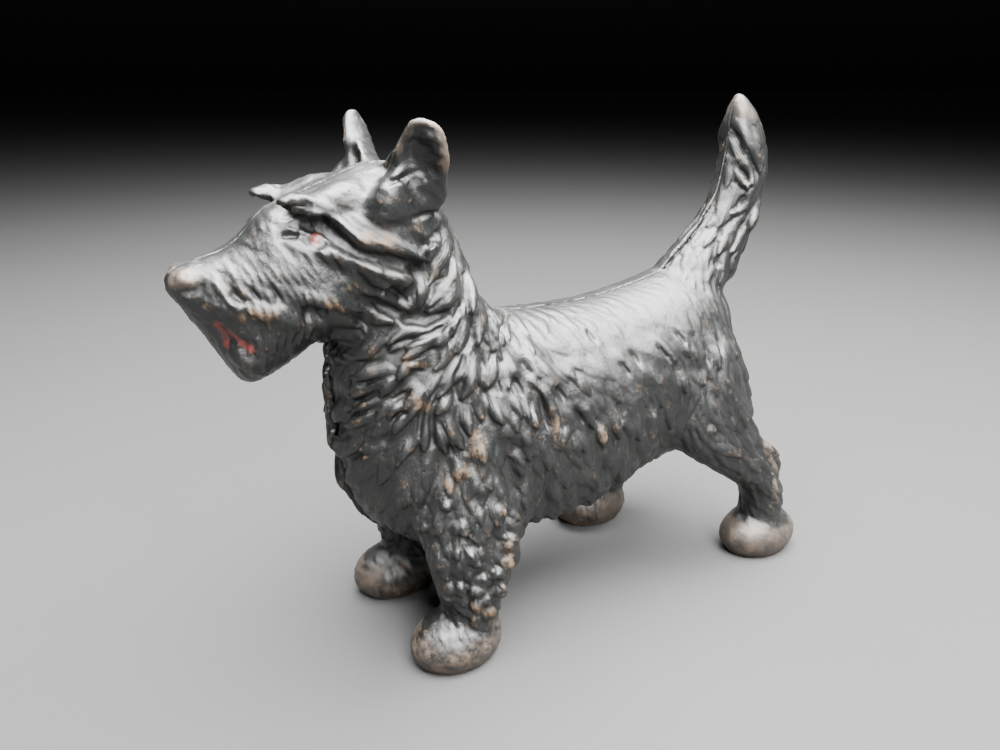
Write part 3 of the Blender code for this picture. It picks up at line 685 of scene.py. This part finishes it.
class Skin:
    """A casting's fine mesh while it is sculpted, in millimetres and as a left half."""

    def __init__(self, mesh, mirrored):
        self.mesh = mesh
        self.flip = np.array([1.0, -1.0 if mirrored else 1.0, 1.0])
        count = len(mesh.vertices)
        self.co = read_array(mesh.vertices, "co", 3) / MM * self.flip
        self.edges = read_array(mesh.edges, "vertices", 2, np.int32)
        self.degree = np.bincount(self.edges.ravel(), minlength=count)
        self.outer = np.ones(count)
        self.refresh()

    def refresh(self):
        """Writes the points to the mesh, and reads its normals and a tree of its outer points."""
        self.mesh.vertices.foreach_set("co", (self.co * self.flip * MM).ravel())
        self.mesh.update()
        self.normal = read_array(self.mesh.vertex_normals, "vector", 3) * self.flip
        self.tree = KDTree(len(self.co))
        for index in np.flatnonzero(self.outer > 0.5).tolist():
            self.tree.insert(self.co[index], index)
        self.tree.balance()

    def neighbour_mean(self, values):
        """Each point's mean of its neighbours' values."""
        columns = values.reshape(len(values), -1).T
        a, b = self.edges.T
        count = len(values)
        sums = [np.bincount(a, c[b], count) + np.bincount(b, c[a], count) for c in columns]
        return (np.array(sums) / self.degree).T.reshape(values.shape)

    def smooth(self, values, passes):
        for _ in range(passes):
            values = values + SMOOTH_SHARE * (self.neighbour_mean(values) - values)
        return values

    def find_outer(self, tree, seen):
        """Marks the points that lie on the casting's outside."""
        outer = np.zeros(len(self.co))
        for index, place in enumerate(self.co * self.flip * MM):
            outer[index] = seen[tree.find_nearest(place)[2]]
        self.outer = outer

    def lay(self, points):
        """Points moved onto the skin, the normals there and how far each was moved."""
        placed, normals, moved = [], [], []
        for point in points:
            _, index, far = self.tree.find(point)
            normal = self.normal[index]
            placed.append(point - normal * np.dot(point - self.co[index], normal))
            normals.append(normal)
            moved.append(far)
        return np.array(placed), np.array(normals), np.array(moved)

    def around(self, place, radius):
        """The outer points within a radius: their index and how far each is."""
        items = self.tree.find_range(place, radius)
        return np.array([item[1] for item in items], np.int64), np.array([item[2] for item in items])

    def near(self, path, normals, reach):
        """The points around a path: their index, share along it and signed distance to its side."""
        centre = path.mean(axis=0)
        radius = np.linalg.norm(path - centre, axis=1).max() + reach
        found, _ = self.around(centre, radius)
        if not len(found):
            return found, None, None
        points = self.co[found][:, None]
        start, run = path[:-1], np.diff(path, axis=0)
        along = np.clip(((points - start) * run).sum(2) / np.maximum((run * run).sum(1), 1e-6), 0, 1)
        offset = points - (start + along[..., None] * run)
        nearest = (offset ** 2).sum(2).argmin(1)
        rows = np.arange(len(found))
        offset = offset[rows, nearest]
        normal = normals[:-1][nearest]
        height = (offset * normal).sum(1)
        flat = offset - height[:, None] * normal
        side = (np.cross(normal, unit(run[nearest])) * flat).sum(1)
        away = np.sqrt((flat ** 2).sum(1)) * np.where(side < 0, -1, 1)
        facing = (self.normal[found] * normal).sum(1)
        good = (np.abs(height) < LOCK_REACH) & (np.abs(away) < reach) & (facing > SAME_SIDE)
        share = (nearest + along[rows, nearest]) / len(run)
        return found[good], share[good], away[good]


def trace(surface, pixels):
    """Places in millimetres on the surface, close together along a line drawn over the photograph."""
    found = []
    for start, end in zip(pixels, pixels[1:]):
        count = max(1, round(math.dist(start, end) / TRACE_STEP))
        for k in range(count + (end == pixels[-1])):
            share = k / count
            pixel = [a + (b - a) * share for a, b in zip(start, end)]
            hit = surface.ray_cast(CAMERA_PLACE, photo_ray(pixel))[0]
            if hit is not None:
                found.append(np.array(hit) / MM)
    return np.array(found)


def respaced(path, count):
    """The path with that many points, evenly spaced."""
    along = np.concatenate([[0], np.cumsum(np.linalg.norm(np.diff(path, axis=0), axis=1))])
    wanted = np.linspace(0, along[-1], count)
    return np.stack([np.interp(wanted, along, column) for column in path.T], axis=1)


def carve(skin, path, width, height):
    """A smooth ridge, or a furrow where height is negative, along a path. Its ends run out softly."""
    placed, normals, moved = skin.lay(respaced(path, LOCK_POINTS))
    if np.median(moved) > LOCK_REACH:
        return
    reach = width * STROKE_REACH
    found, share, away = skin.near(placed, normals, reach)
    if not len(found):
        return
    ends = np.clip(3.2 * np.minimum(share, 1 - share) + 0.2, 0, 1)
    profile = np.clip(1 - (away / reach) ** 2, 0, 1) ** 2
    skin.co[found] += skin.normal[found] * (height * ends * profile)[:, None]


def dab(skin, place, radius, height):
    """A round knob, or a hollow where height is negative."""
    found, far = skin.around(place, radius)
    facing = skin.normal[found] @ skin.normal[skin.tree.find(place)[1]]
    push = height * np.clip(1 - (far / radius) ** 2, 0, 1) ** 1.5 * (facing > 0)
    skin.co[found] += skin.normal[found] * push[:, None]


def swell(skin, place, radius, height):
    """Thickens everything near a place, on all its sides."""
    far = np.linalg.norm(skin.co - place, axis=1)
    skin.co += skin.normal * (height * np.clip(1 - (far / radius) ** 2, 0, 1))[:, None]


def fan(count, first, last):
    """Paths in pixels, evenly from the first to the last, each shifted a little along its own line."""
    paths = []
    for k in range(count):
        across = k / (count - 1)
        shift = FAN_SHIFT * ((k * GOLDEN_SHARE) % 1 - 0.5)
        line = [[a + (b - a) * across for a, b in zip(p, q)] for p, q in zip(first, last)]
        run = [b - a for a, b in zip(line[0], line[-1])]
        paths.append(tuple((x + run[0] * shift, y + run[1] * shift) for x, y in line))
    return paths


class Lie:
    """Which way the coat lies at a place, and how long, wide and high its locks are there."""

    def __init__(self, traced):
        places, directions, sizes = [], [], []
        for kind, path in traced:
            for k in (0, len(path) // 2, len(path) - 1):
                before, after = path[max(k - 1, 0)], path[min(k + 1, len(path) - 1)]
                places.append(path[k])
                directions.append(after - before)
                sizes.append(KINDS[kind])
        for kind, place, direction in UNSEEN_LIE:
            places.append(place)
            directions.append(direction)
            sizes.append(KINDS[kind])
        self.places = np.array(places, float)
        self.directions = unit(np.array(directions, float))
        self.sizes = np.array(sizes)

    def at(self, points):
        directions, sizes = [], []
        for chunk in np.array_split(points, len(points) // FLOW_CHUNK + 1):
            far = ((chunk[:, None] - self.places) ** 2).sum(2)
            near, wide = (np.exp(-far / (2 * size ** 2)) for size in (FLOW_NEAR, FLOW_FAR))
            weight = near + FLOW_FAR_SHARE * wide
            weight = (weight + 1e-12) / (weight + 1e-12).sum(1, keepdims=True)
            directions.append(weight @ self.directions)
            sizes.append(weight @ self.sizes)
        return unit(np.concatenate(directions)), np.concatenate(sizes)


def scatter(skin, lie, chance, taken):
    """Roots of locks, spread over the free skin so that none crowds another."""
    free = np.flatnonzero((skin.outer > 0.9) & ~taken)
    order = chance.permutation(free)[:LOCK_CANDIDATES]
    directions, sizes = lie.at(skin.co[order])
    cells, chosen = {}, []
    for index in np.flatnonzero(sizes[:, 2] > LEAST_HEIGHT).tolist():
        length, width, _ = sizes[index]
        place, direction = skin.co[order[index]], directions[index]
        cell = tuple(np.floor(place / LOCK_CELL).astype(int))
        around = [
            other for step in np.ndindex(3, 3, 3)
            for other in cells.get((cell[0] + step[0] - 1, cell[1] + step[1] - 1, cell[2] + step[2] - 1), ())
        ]
        if around:
            gap = skin.co[order[around]] - place
            along = gap @ direction
            across = np.maximum((gap * gap).sum(1) - along * along, 0)
            crowd = (along / (LOCK_SPACING[0] * length)) ** 2 + across / (LOCK_SPACING[1] * width) ** 2
            if crowd.min() < 1:
                continue
        cells.setdefault(cell, []).append(index)
        chosen.append(index)
    return skin.co[order[chosen]], sizes[chosen]


def grow(skin, lie, roots, sizes, chance):
    """A path for each lock, from its root along the coat's lie, with a little curl."""
    count = len(roots)
    lengths = sizes[:, 0] * chance.uniform(*LENGTHS, count)
    bend = BEND[0] * noise(roots, BEND[1], 5) + chance.normal(0, BEND[2], count)
    curl = CURL[0] * noise(roots, CURL[1], 6) + chance.uniform(-CURL[2], CURL[2], count)
    placed, normals, _ = skin.lay(roots)
    paths, layers = [placed], [normals]
    for k in range(LOCK_POINTS - 1):
        directions, _ = lie.at(placed)
        directions = unit(directions - (directions * normals).sum(1, keepdims=True) * normals)
        angle = bend + curl * (k / (LOCK_POINTS - 2) - 0.4)
        across = np.cross(normals, directions)
        step = directions * np.cos(angle)[:, None] + across * np.sin(angle)[:, None]
        placed, normals, _ = skin.lay(placed + step * (lengths / (LOCK_POINTS - 1))[:, None])
        paths.append(placed)
        layers.append(normals)
    return np.stack(paths, axis=1), np.stack(layers, axis=1)


def lock_shape(share, away, width, height):
    """The height of a leaf-shaped lock that starts flush, ends in a raised tip and is made of strands."""
    leaf = np.sin(math.pi * (LEAF_START + LEAF_SPAN * np.clip(share, 0, 1))) ** LEAF_FULLNESS
    edge = np.clip(np.abs(away) / (width / 2 * leaf + 0.05), 0, 1)
    rise = ROOT_HEIGHT + (1 - ROOT_HEIGHT) * smooth_step(0.0, TIP_START, share)
    strands = 1 + STRAND_SHARE * np.cos(2 * math.pi * away / STRAND_WIDTH) * (width > STRAND_LOCKS)
    return height * rise * (1 - edge ** 2.2) ** 0.6 * strands


class Coat:
    """The height of the hair over the skin, and how far each point lies from its lock's middle."""

    def __init__(self, skin):
        self.skin = skin
        self.height = np.zeros(len(skin.co))
        self.strand = np.zeros(len(skin.co))
        self.guard = np.zeros(len(skin.co), bool)

    def stamp(self, path, normals, width, height, traced=False):
        found, share, away = self.skin.near(path, normals, width / 2 + LOCK_CLEARANCE)
        if not len(found):
            return
        shape = lock_shape(share, away, width, height)
        higher = shape > self.height[found]
        self.height[found[higher]] = shape[higher]
        self.strand[found[higher]] = away[higher]
        if traced:
            self.guard[found] = True


def add_coat(skin, traced, lie, chance):
    """Raises the locks: first those of the photograph, then others between them."""
    coat = Coat(skin)
    for kind, path in traced:
        _, width, height = KINDS[kind]
        if height == 0:
            continue
        placed, normals, moved = skin.lay(respaced(path, LOCK_POINTS))
        if np.median(moved) < LOCK_REACH:
            coat.stamp(placed, normals, width * TRACED_GAIN[0], height * TRACED_GAIN[1], traced=True)
    roots, sizes = scatter(skin, lie, chance, coat.guard)
    paths, layers = grow(skin, lie, roots, sizes, chance)
    widths = sizes[:, 1] * chance.uniform(*WIDTHS, len(roots))
    heights = sizes[:, 2] * chance.uniform(*HEIGHTS, len(roots))
    for path, normals, width, height in zip(paths, layers, widths, heights):
        coat.stamp(path, normals, width, height)
    return coat


def marks_near(skin, marks, kind):
    """How strongly each point is marked with a kind of colour, from 0 to 1 near the mark's middle."""
    strength = np.zeros(len(skin.co))
    for mark_kind, radius, path in marks:
        for place in path if mark_kind == kind else ():
            found, far = skin.around(place, radius)
            strength[found] = np.maximum(strength[found], np.clip(MARK_GAIN * (1 - far / radius), 0, 1))
    return strength


def hold_wall(skin, start, outward):
    """Keeps the sculpting from cutting through the casting's wall."""
    sunk = -((skin.co - start) * outward).sum(1)
    skin.co += outward * np.maximum(sunk - DEEPEST, 0)[:, None]


def cut_seam(skin, keep, step, width, depth):
    """A hardly visible joint between the halves, and an open groove down the chest."""
    seam = -skin.co[:, 1] - SEAM_GAP
    flat = unit(skin.normal * (1, 0.001, 1))
    chest = smooth_step(*CHEST_FACING, -flat[:, 0]) * smooth_step(*CHEST_TOP, skin.co[:, 2])
    chest *= smooth_step(*CHEST_FRONT, skin.co[:, 0])
    fill = SEAM_FILL * np.clip(1 - seam / FILL_BAND, 0, 1)
    rise = step * np.clip(1 - seam / STEP_BAND, 0, 1) * chest
    uneven = 1 + GROOVE_NOISE[0] * noise(skin.co, GROOVE_NOISE[1], 3)
    groove = depth * uneven * smooth_step(width, width - GROOVE_EDGE, seam) * chest
    skin.co += flat * ((fill * (1 - chest) + rise - groove) * keep)[:, None]
    rounded = (keep > 0.3) & (seam < CORNER_BAND)
    skin.co[:, 1] = np.where(rounded, -SEAM_GAP, np.minimum(skin.co[:, 1], -SEAM_GAP))


def sculpted_share(skin, screws):
    """1 where the skin is sculpted, 0 on the inside and around the screws' heads."""
    keep = skin.outer.copy()
    for across, up in screws:
        far = np.hypot(skin.co[:, 0] - across, skin.co[:, 2] - up)
        keep *= smooth_step(*SCREW_CLEAR, far)
    return keep


def paint_values(skin, coat, level, keep, marks):
    """What the paint needs to know at each point, by name."""
    convex = skin.smooth(-((skin.neighbour_mean(skin.co) - skin.co) * skin.normal).sum(1), 2)
    convex = np.clip(convex / CONVEX_FULL, -1, 1)
    ridge = np.clip(coat.height / np.maximum(level, 0.15), 0, 1.5)
    up = skin.co[:, 2]
    paws = smooth_step(3.0, -3.0, up - PAW_BARE_HEIGHT - 3.0 * noise(skin.co, 7.0, 4))
    low = LOW_WEAR * smooth_step(*LOW_WEAR_HEIGHTS, up)
    soles = SOLE_RUST * smooth_step(*SOLE_RUST_HEIGHTS, up + 3.0 * noise(skin.co, 5.0, 7))
    return {
        "ridge": ridge * keep,
        "convex": convex * skin.outer,
        "strand": coat.strand,
        "hair": level * keep,
        "bare": np.maximum(np.maximum(marks["bare"], paws), low),
        "rust": np.maximum(marks["rust"], soles),
        "red": marks["red"],
    }


def sculpt_forms(skin, traced, keep):
    """Face, ear, knobs and broad forms, over a skin whose facets are smoothed away."""
    start, outward = skin.co.copy(), skin.normal.copy()
    inward = smooth_step(SEAM_GAP, SEAM_GAP + SEAM_BAND, -skin.co[:, 1])
    skin.co += (keep * inward)[:, None] * (skin.smooth(skin.co, FACET_PASSES) - skin.co)
    skin.refresh()
    marks = {kind: marks_near(skin, traced["marks"], kind) for kind in ("red", "bare", "rust")}
    for width, height, path in traced["forms"]:
        carve(skin, path, width, height)
    for place, radius, height in traced["knobs"]:
        dab(skin, place, radius, height)
    swell(skin, BROW_TIP, BROW_TIP_RADIUS, BROW_TIP_SWELLING)
    skin.co = start + (skin.co - start) * keep[:, None]
    hold_wall(skin, start, outward)
    skin.refresh()
    return start, outward, marks


def sculpt(skin, traced, seed, chest_seam, screws):
    """All the sculpting of one casting. It returns what the paint needs to know at each point."""
    keep = sculpted_share(skin, screws)
    start, outward, marks = sculpt_forms(skin, traced, keep)
    lie = Lie(traced["locks"])
    coat = add_coat(skin, traced["locks"], lie, np.random.default_rng(seed))
    level = np.zeros(len(skin.co))
    out = np.flatnonzero(skin.outer > 0)
    level[out] = lie.at(skin.co[out])[1][:, 2]
    push = coat.height - LOCK_SINK * level
    push += sum(height * noise(skin.co, size, skin_seed) for height, size, skin_seed in UNEVEN_SKIN)
    skin.co += skin.normal * (push * keep)[:, None]
    for path in traced["clefts"]:
        carve(skin, path, CLEFT_WIDTH, -CLEFT_DEPTH)
    hold_wall(skin, start, outward)
    skin.co += (LAST_SMOOTHING * keep)[:, None] * (skin.neighbour_mean(skin.co) - skin.co)
    cut_seam(skin, keep, *chest_seam)
    skin.co[:, 2] = np.maximum(skin.co[:, 2], 0)
    skin.refresh()
    return paint_values(skin, coat, level, keep, marks)


def material(name, surface):
    """A new material, whose nodes the surface function makes."""
    made = bpy.data.materials.new(name)
    made.use_nodes = True
    made.node_tree.nodes.clear()
    surface(made.node_tree)
    return made


def add(tree, kind, inputs=(), **settings):
    """A node whose inputs are values or other nodes' sockets."""
    node = tree.nodes.new(kind)
    for name, value in settings.items():
        setattr(node, name, value)
    for name, value in dict(inputs).items():
        if isinstance(value, bpy.types.NodeSocket):
            tree.links.new(value, node.inputs[name])
        else:
            node.inputs[name].default_value = value
    return node


def attribute(tree, name):
    return add(tree, "ShaderNodeAttribute", attribute_name=name).outputs["Fac"]


def sum_of(tree, *terms):
    """The sum of products: each term is a socket, or a pair of a socket and its factor."""
    total = 0.0
    for term in terms:
        socket, factor = term if isinstance(term, tuple) else (term, 1.0)
        inputs = {0: socket, 1: factor, 2: total}
        total = add(tree, "ShaderNodeMath", inputs, operation="MULTIPLY_ADD").outputs[0]
    return total


def product(tree, a, b):
    return add(tree, "ShaderNodeMath", {0: a, 1: b}, operation="MULTIPLY").outputs[0]


def between(tree, value, low, high, new_low=0.0, new_high=1.0):
    """The value's place between low and high, with a soft turn."""
    return add(tree, "ShaderNodeMapRange", {
        "Value": value, "From Min": low, "From Max": high, "To Min": new_low, "To Max": new_high,
    }, interpolation_type="SMOOTHSTEP").outputs[0]


def grain(tree, per_metre, detail=3.0, roughness=0.6):
    """Noise around 0.5 in the object's own space."""
    place = add(tree, "ShaderNodeTexCoord").outputs["Object"]
    return add(tree, "ShaderNodeTexNoise", {
        "Vector": place, "Scale": per_metre, "Detail": detail, "Roughness": roughness,
    }).outputs["Fac"]


def mixed(tree, share, shades, kind="RGBA"):
    """A turn from the first shade to the second. A shade is a value or a socket."""
    first, second, out = {"RGBA": (6, 7, 2), "FLOAT": (2, 3, 0)}[kind]
    inputs = {0: share, first: shades[0], second: shades[1]}
    return add(tree, "ShaderNodeMix", inputs, data_type=kind).outputs[out]


def add_shader(tree, height, bump_distance, **inputs):
    """The surface itself, with a bump made from height."""
    bump = add(tree, "ShaderNodeBump", {"Height": height, "Distance": bump_distance}).outputs[0]
    inputs = {name.replace("_", " "): value for name, value in inputs.items()}
    shader = add(tree, "ShaderNodeBsdfPrincipled", {**inputs, "Normal": bump})
    add(tree, "ShaderNodeOutputMaterial", {"Surface": shader.outputs[0]})


def old_paint(tree):
    """Old satin black paint, worn to brown iron on the high spots and the paws, with rust and red paint."""
    coarse = grain(tree, 45, 4.0)
    middle = grain(tree, 160, 5.0, 0.7)
    fine = grain(tree, 700, 4.0, 0.7)
    bare, convex = attribute(tree, "bare"), attribute(tree, "convex")

    worn = sum_of(tree, (bare, 0.50), (convex, 0.14), (coarse, 0.9), (middle, 0.9), (fine, 0.5))
    worn = between(tree, worn, 1.40, 1.82)
    rust, red = attribute(tree, "rust"), attribute(tree, "red")
    rusty = sum_of(tree, (rust, 0.42), (bare, 0.10), (convex, 0.16), (middle, 1.7), (fine, 1.2))
    rusty = between(tree, rusty, 1.58, 2.25)
    red = between(tree, sum_of(tree, red, (fine, 1.5), (middle, 1.3)), 1.75, 2.45)
    dusty = sum_of(tree, (convex, -0.35), (attribute(tree, "ridge"), -0.25), (coarse, 0.7), (fine, 0.2))
    dusty = between(tree, dusty, 0.36, 0.7, 0.0, 0.16)

    colour = mixed(tree, dusty, (mixed(tree, coarse, BLACK_PAINT), DUST))
    colour = mixed(tree, worn, (colour, mixed(tree, middle, IRON)))
    colour = mixed(tree, rusty, (colour, mixed(tree, fine, RUST)))
    colour = mixed(tree, red, (colour, mixed(tree, middle, RED_PAINT)))

    rough = sum_of(tree, (coarse, 0.22), (fine, 0.18), (dusty, 0.6))
    rough = add(tree, "ShaderNodeMath", {0: rough, 1: 0.23}, operation="ADD").outputs[0]
    for share, roughness in ((worn, 0.5), (rusty, 0.82), (red, 0.45)):
        rough = mixed(tree, share, (rough, roughness), "FLOAT")
    metal = mixed(tree, rusty, (product(tree, worn, 0.45), 0.0), "FLOAT")

    turns = product(tree, attribute(tree, "strand"), 2 * math.pi / WAVE_LENGTH)
    waves = add(tree, "ShaderNodeMath", {0: turns}, operation="SINE").outputs[0]
    hair = between(tree, attribute(tree, "hair"), 0.25, 1.2)
    height = sum_of(
        tree, (product(tree, waves, hair), 0.02), (middle, 0.22), (fine, 0.20),
        (grain(tree, 2400, 2.0), 0.05), (worn, -0.07), (rusty, -0.05),
    )
    add_shader(tree, height, METAL_BUMP, Base_Color=colour, Roughness=rough, Metallic=metal)


def screw_steel(tree):
    """Dull, finely grained steel with traces of black paint."""
    coarse, fine = grain(tree, 220, 4.0), grain(tree, 1500, 3.0)
    painted = between(tree, sum_of(tree, coarse, (fine, 0.4)), 0.62, 0.74)
    colour = mixed(tree, painted, (mixed(tree, fine, STEEL), SCREW_PAINT))
    rough = mixed(tree, painted, (mixed(tree, coarse, (0.34, 0.62), "FLOAT"), 0.45), "FLOAT")
    metal = mixed(tree, painted, (1.0, 0.0), "FLOAT")
    height = sum_of(tree, (fine, 0.06), (painted, 0.05))
    add_shader(tree, height, METAL_BUMP, Base_Color=colour, Roughness=rough, Metallic=metal)


def sharpen_joint(mesh):
    """Keeps the flat face of the joint from softening the shading along its edge."""
    at_joint = np.abs(read_array(mesh.vertices, "co", 3)[:, 1]) < (SEAM_GAP + JOINT_TOLERANCE) * MM
    pairs = read_array(mesh.edges, "vertices", 2, np.int32)
    mesh.edges.foreach_set("use_edge_sharp", at_joint[pairs].all(axis=1))


def write_attributes(mesh, values):
    for name, numbers in values.items():
        layer = mesh.attributes.new(name, "FLOAT", "POINT")
        layer.data.foreach_set("value", numbers.astype(np.float32))


def thinned(obj, inside):
    """Fewer triangles, above all on the plain inside. A weight of 0 would lock the outside."""
    group = obj.vertex_groups.new(name="inside")
    group.add(np.flatnonzero(inside).tolist(), 1.0, "REPLACE")
    group.add(np.flatnonzero(~inside).tolist(), OUTSIDE_WEIGHT, "REPLACE")
    triangles = sum(len(p.vertices) - 2 for p in obj.data.polygons)
    thin = obj.modifiers.new("thin", "DECIMATE")
    thin.ratio = min(1, MOST_TRIANGLES / triangles)
    thin.vertex_group = "inside"
    thin.vertex_group_factor = OUTSIDE_KEPT
    mesh = applied(obj)
    obj.vertex_groups.clear()
    return mesh


def traced_shapes(surface):
    """Everything that is traced over the photograph, as paths on the casting in millimetres."""
    def on_skin(items):
        """The items that lie on the casting. The last value of each, a line in pixels, becomes a path."""
        found = [(*item[:-1], trace(surface, item[-1])) for item in items]
        return [item for item in found if len(item[-1]) > 2]

    rows = [(kind, pixels) for kind, count, first, last in FANS for pixels in fan(count, first, last)]
    return {
        "forms": on_skin(FORMS),
        "clefts": [item[-1] for item in on_skin([(pixels,) for pixels in CLEFTS])],
        "locks": on_skin((*LOCKS, *rows)),
        "marks": on_skin(MARKS),
        "knobs": [
            (path[0], radius, height)
            for (pixel, radius, height) in KNOBS for path in [trace(surface, (pixel, pixel))] if len(path)
        ],
    }


def screw_places():
    """Where each screw's axis crosses the median plane, as millimetres along the dog and up."""
    places = []
    for name in SCREWS:
        low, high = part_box(name)
        places.append(((low.x + high.x) / 2 / MM, (low.z + high.z) / 2 / MM))
    return places


def make_castings():
    """Both halves: remeshed, sculpted, painted and put in place of their nodes."""
    nodes = {name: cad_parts[name] for name, *_ in CASTINGS}
    outside = outside_faces(list(nodes.values()))
    surface = BVHTree.FromObject(nodes["left_half_casting"], bpy.context.evaluated_depsgraph_get())
    traced = traced_shapes(surface)
    screws = screw_places()
    for node_name, mirrored, seed, slot in CASTINGS:
        piece = welded_copy(nodes[node_name], node_name.replace("casting", "terrier"))
        piece.data = remeshed(piece)
        skin = Skin(piece.data, mirrored)
        skin.find_outer(*outside[node_name])
        skin.refresh()
        values = sculpt(skin, traced, seed, CHEST_SEAMS[node_name], screws if mirrored else ())
        write_attributes(piece.data, values)
        piece.data = thinned(piece, skin.outer < 0.5)
        piece.data.materials.clear()
        piece.data.materials.append(material(slot, old_paint))
        piece.data.shade_smooth()
        sharpen_joint(piece.data)
        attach(piece, "root")
        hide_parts(node_name)


def dress_screws():
    """The screws keep their solids and get a finish."""
    steel = material("screw_steel", screw_steel)
    for name in SCREWS:
        for material_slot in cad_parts[name].material_slots:
            material_slot.material = steel


def put(name, data, place, turn):
    """A camera or a lamp in the scene."""
    obj = bpy.data.objects.new(name, data)
    obj.location = place
    obj.rotation_mode = "QUATERNION"
    obj.rotation_quaternion = turn
    bpy.context.scene.collection.objects.link(obj)
    return obj


def make_camera():
    data = bpy.data.cameras.new("photo_camera")
    data.sensor_width = SENSOR_WIDTH
    data.lens = FOCAL_PIXELS / PICTURE_SIZE[0] * SENSOR_WIDTH
    data.clip_start = 0.01
    bpy.context.scene.camera = put("photo_camera", data, CAMERA_PLACE, photo_turn())


def floor_grey(tree):
    """A slightly uneven dark grey, which looks pale under the strong lamps."""
    speck = grain(tree, 300, 4.0, 0.7)
    shade = sum_of(tree, (grain(tree, 3, 4.0), 0.6), (speck, 0.4))
    settings = {"Base_Color": mixed(tree, shade, FLOOR_GREY), "Roughness": 0.8, "Specular_IOR_Level": 0.1}
    add_shader(tree, speck, FLOOR_BUMP, **settings)


def make_floor():
    bpy.ops.mesh.primitive_plane_add(size=FLOOR_SIZE)
    floor = bpy.context.object
    floor.name = "floor"
    floor.data.materials.append(material("pale_floor", floor_grey))


def make_sky():
    """A dim sky that fades to black at the horizon."""
    world = bpy.data.worlds.new("studio")
    world.use_nodes = True
    tree = world.node_tree
    direction = add(tree, "ShaderNodeTexCoord").outputs["Generated"]
    height = add(tree, "ShaderNodeSeparateXYZ", {"Vector": direction}).outputs["Z"]
    sky = mixed(tree, between(tree, height, 0.0, 0.7), SKY)
    tree.links.new(sky, tree.nodes["Background"].inputs["Color"])
    bpy.context.scene.world = world


def make_lamps():
    for name, place, power, size in LAMPS:
        lamp = bpy.data.lights.new(name, "AREA")
        lamp.shape = "RECTANGLE"
        lamp.energy = power
        lamp.size, lamp.size_y = size
        put(name, lamp, place, (LAMP_AIM - Vector(place)).to_track_quat("-Z", "Y"))


make_camera()
make_floor()
make_sky()
make_lamps()
make_castings()
dress_screws()
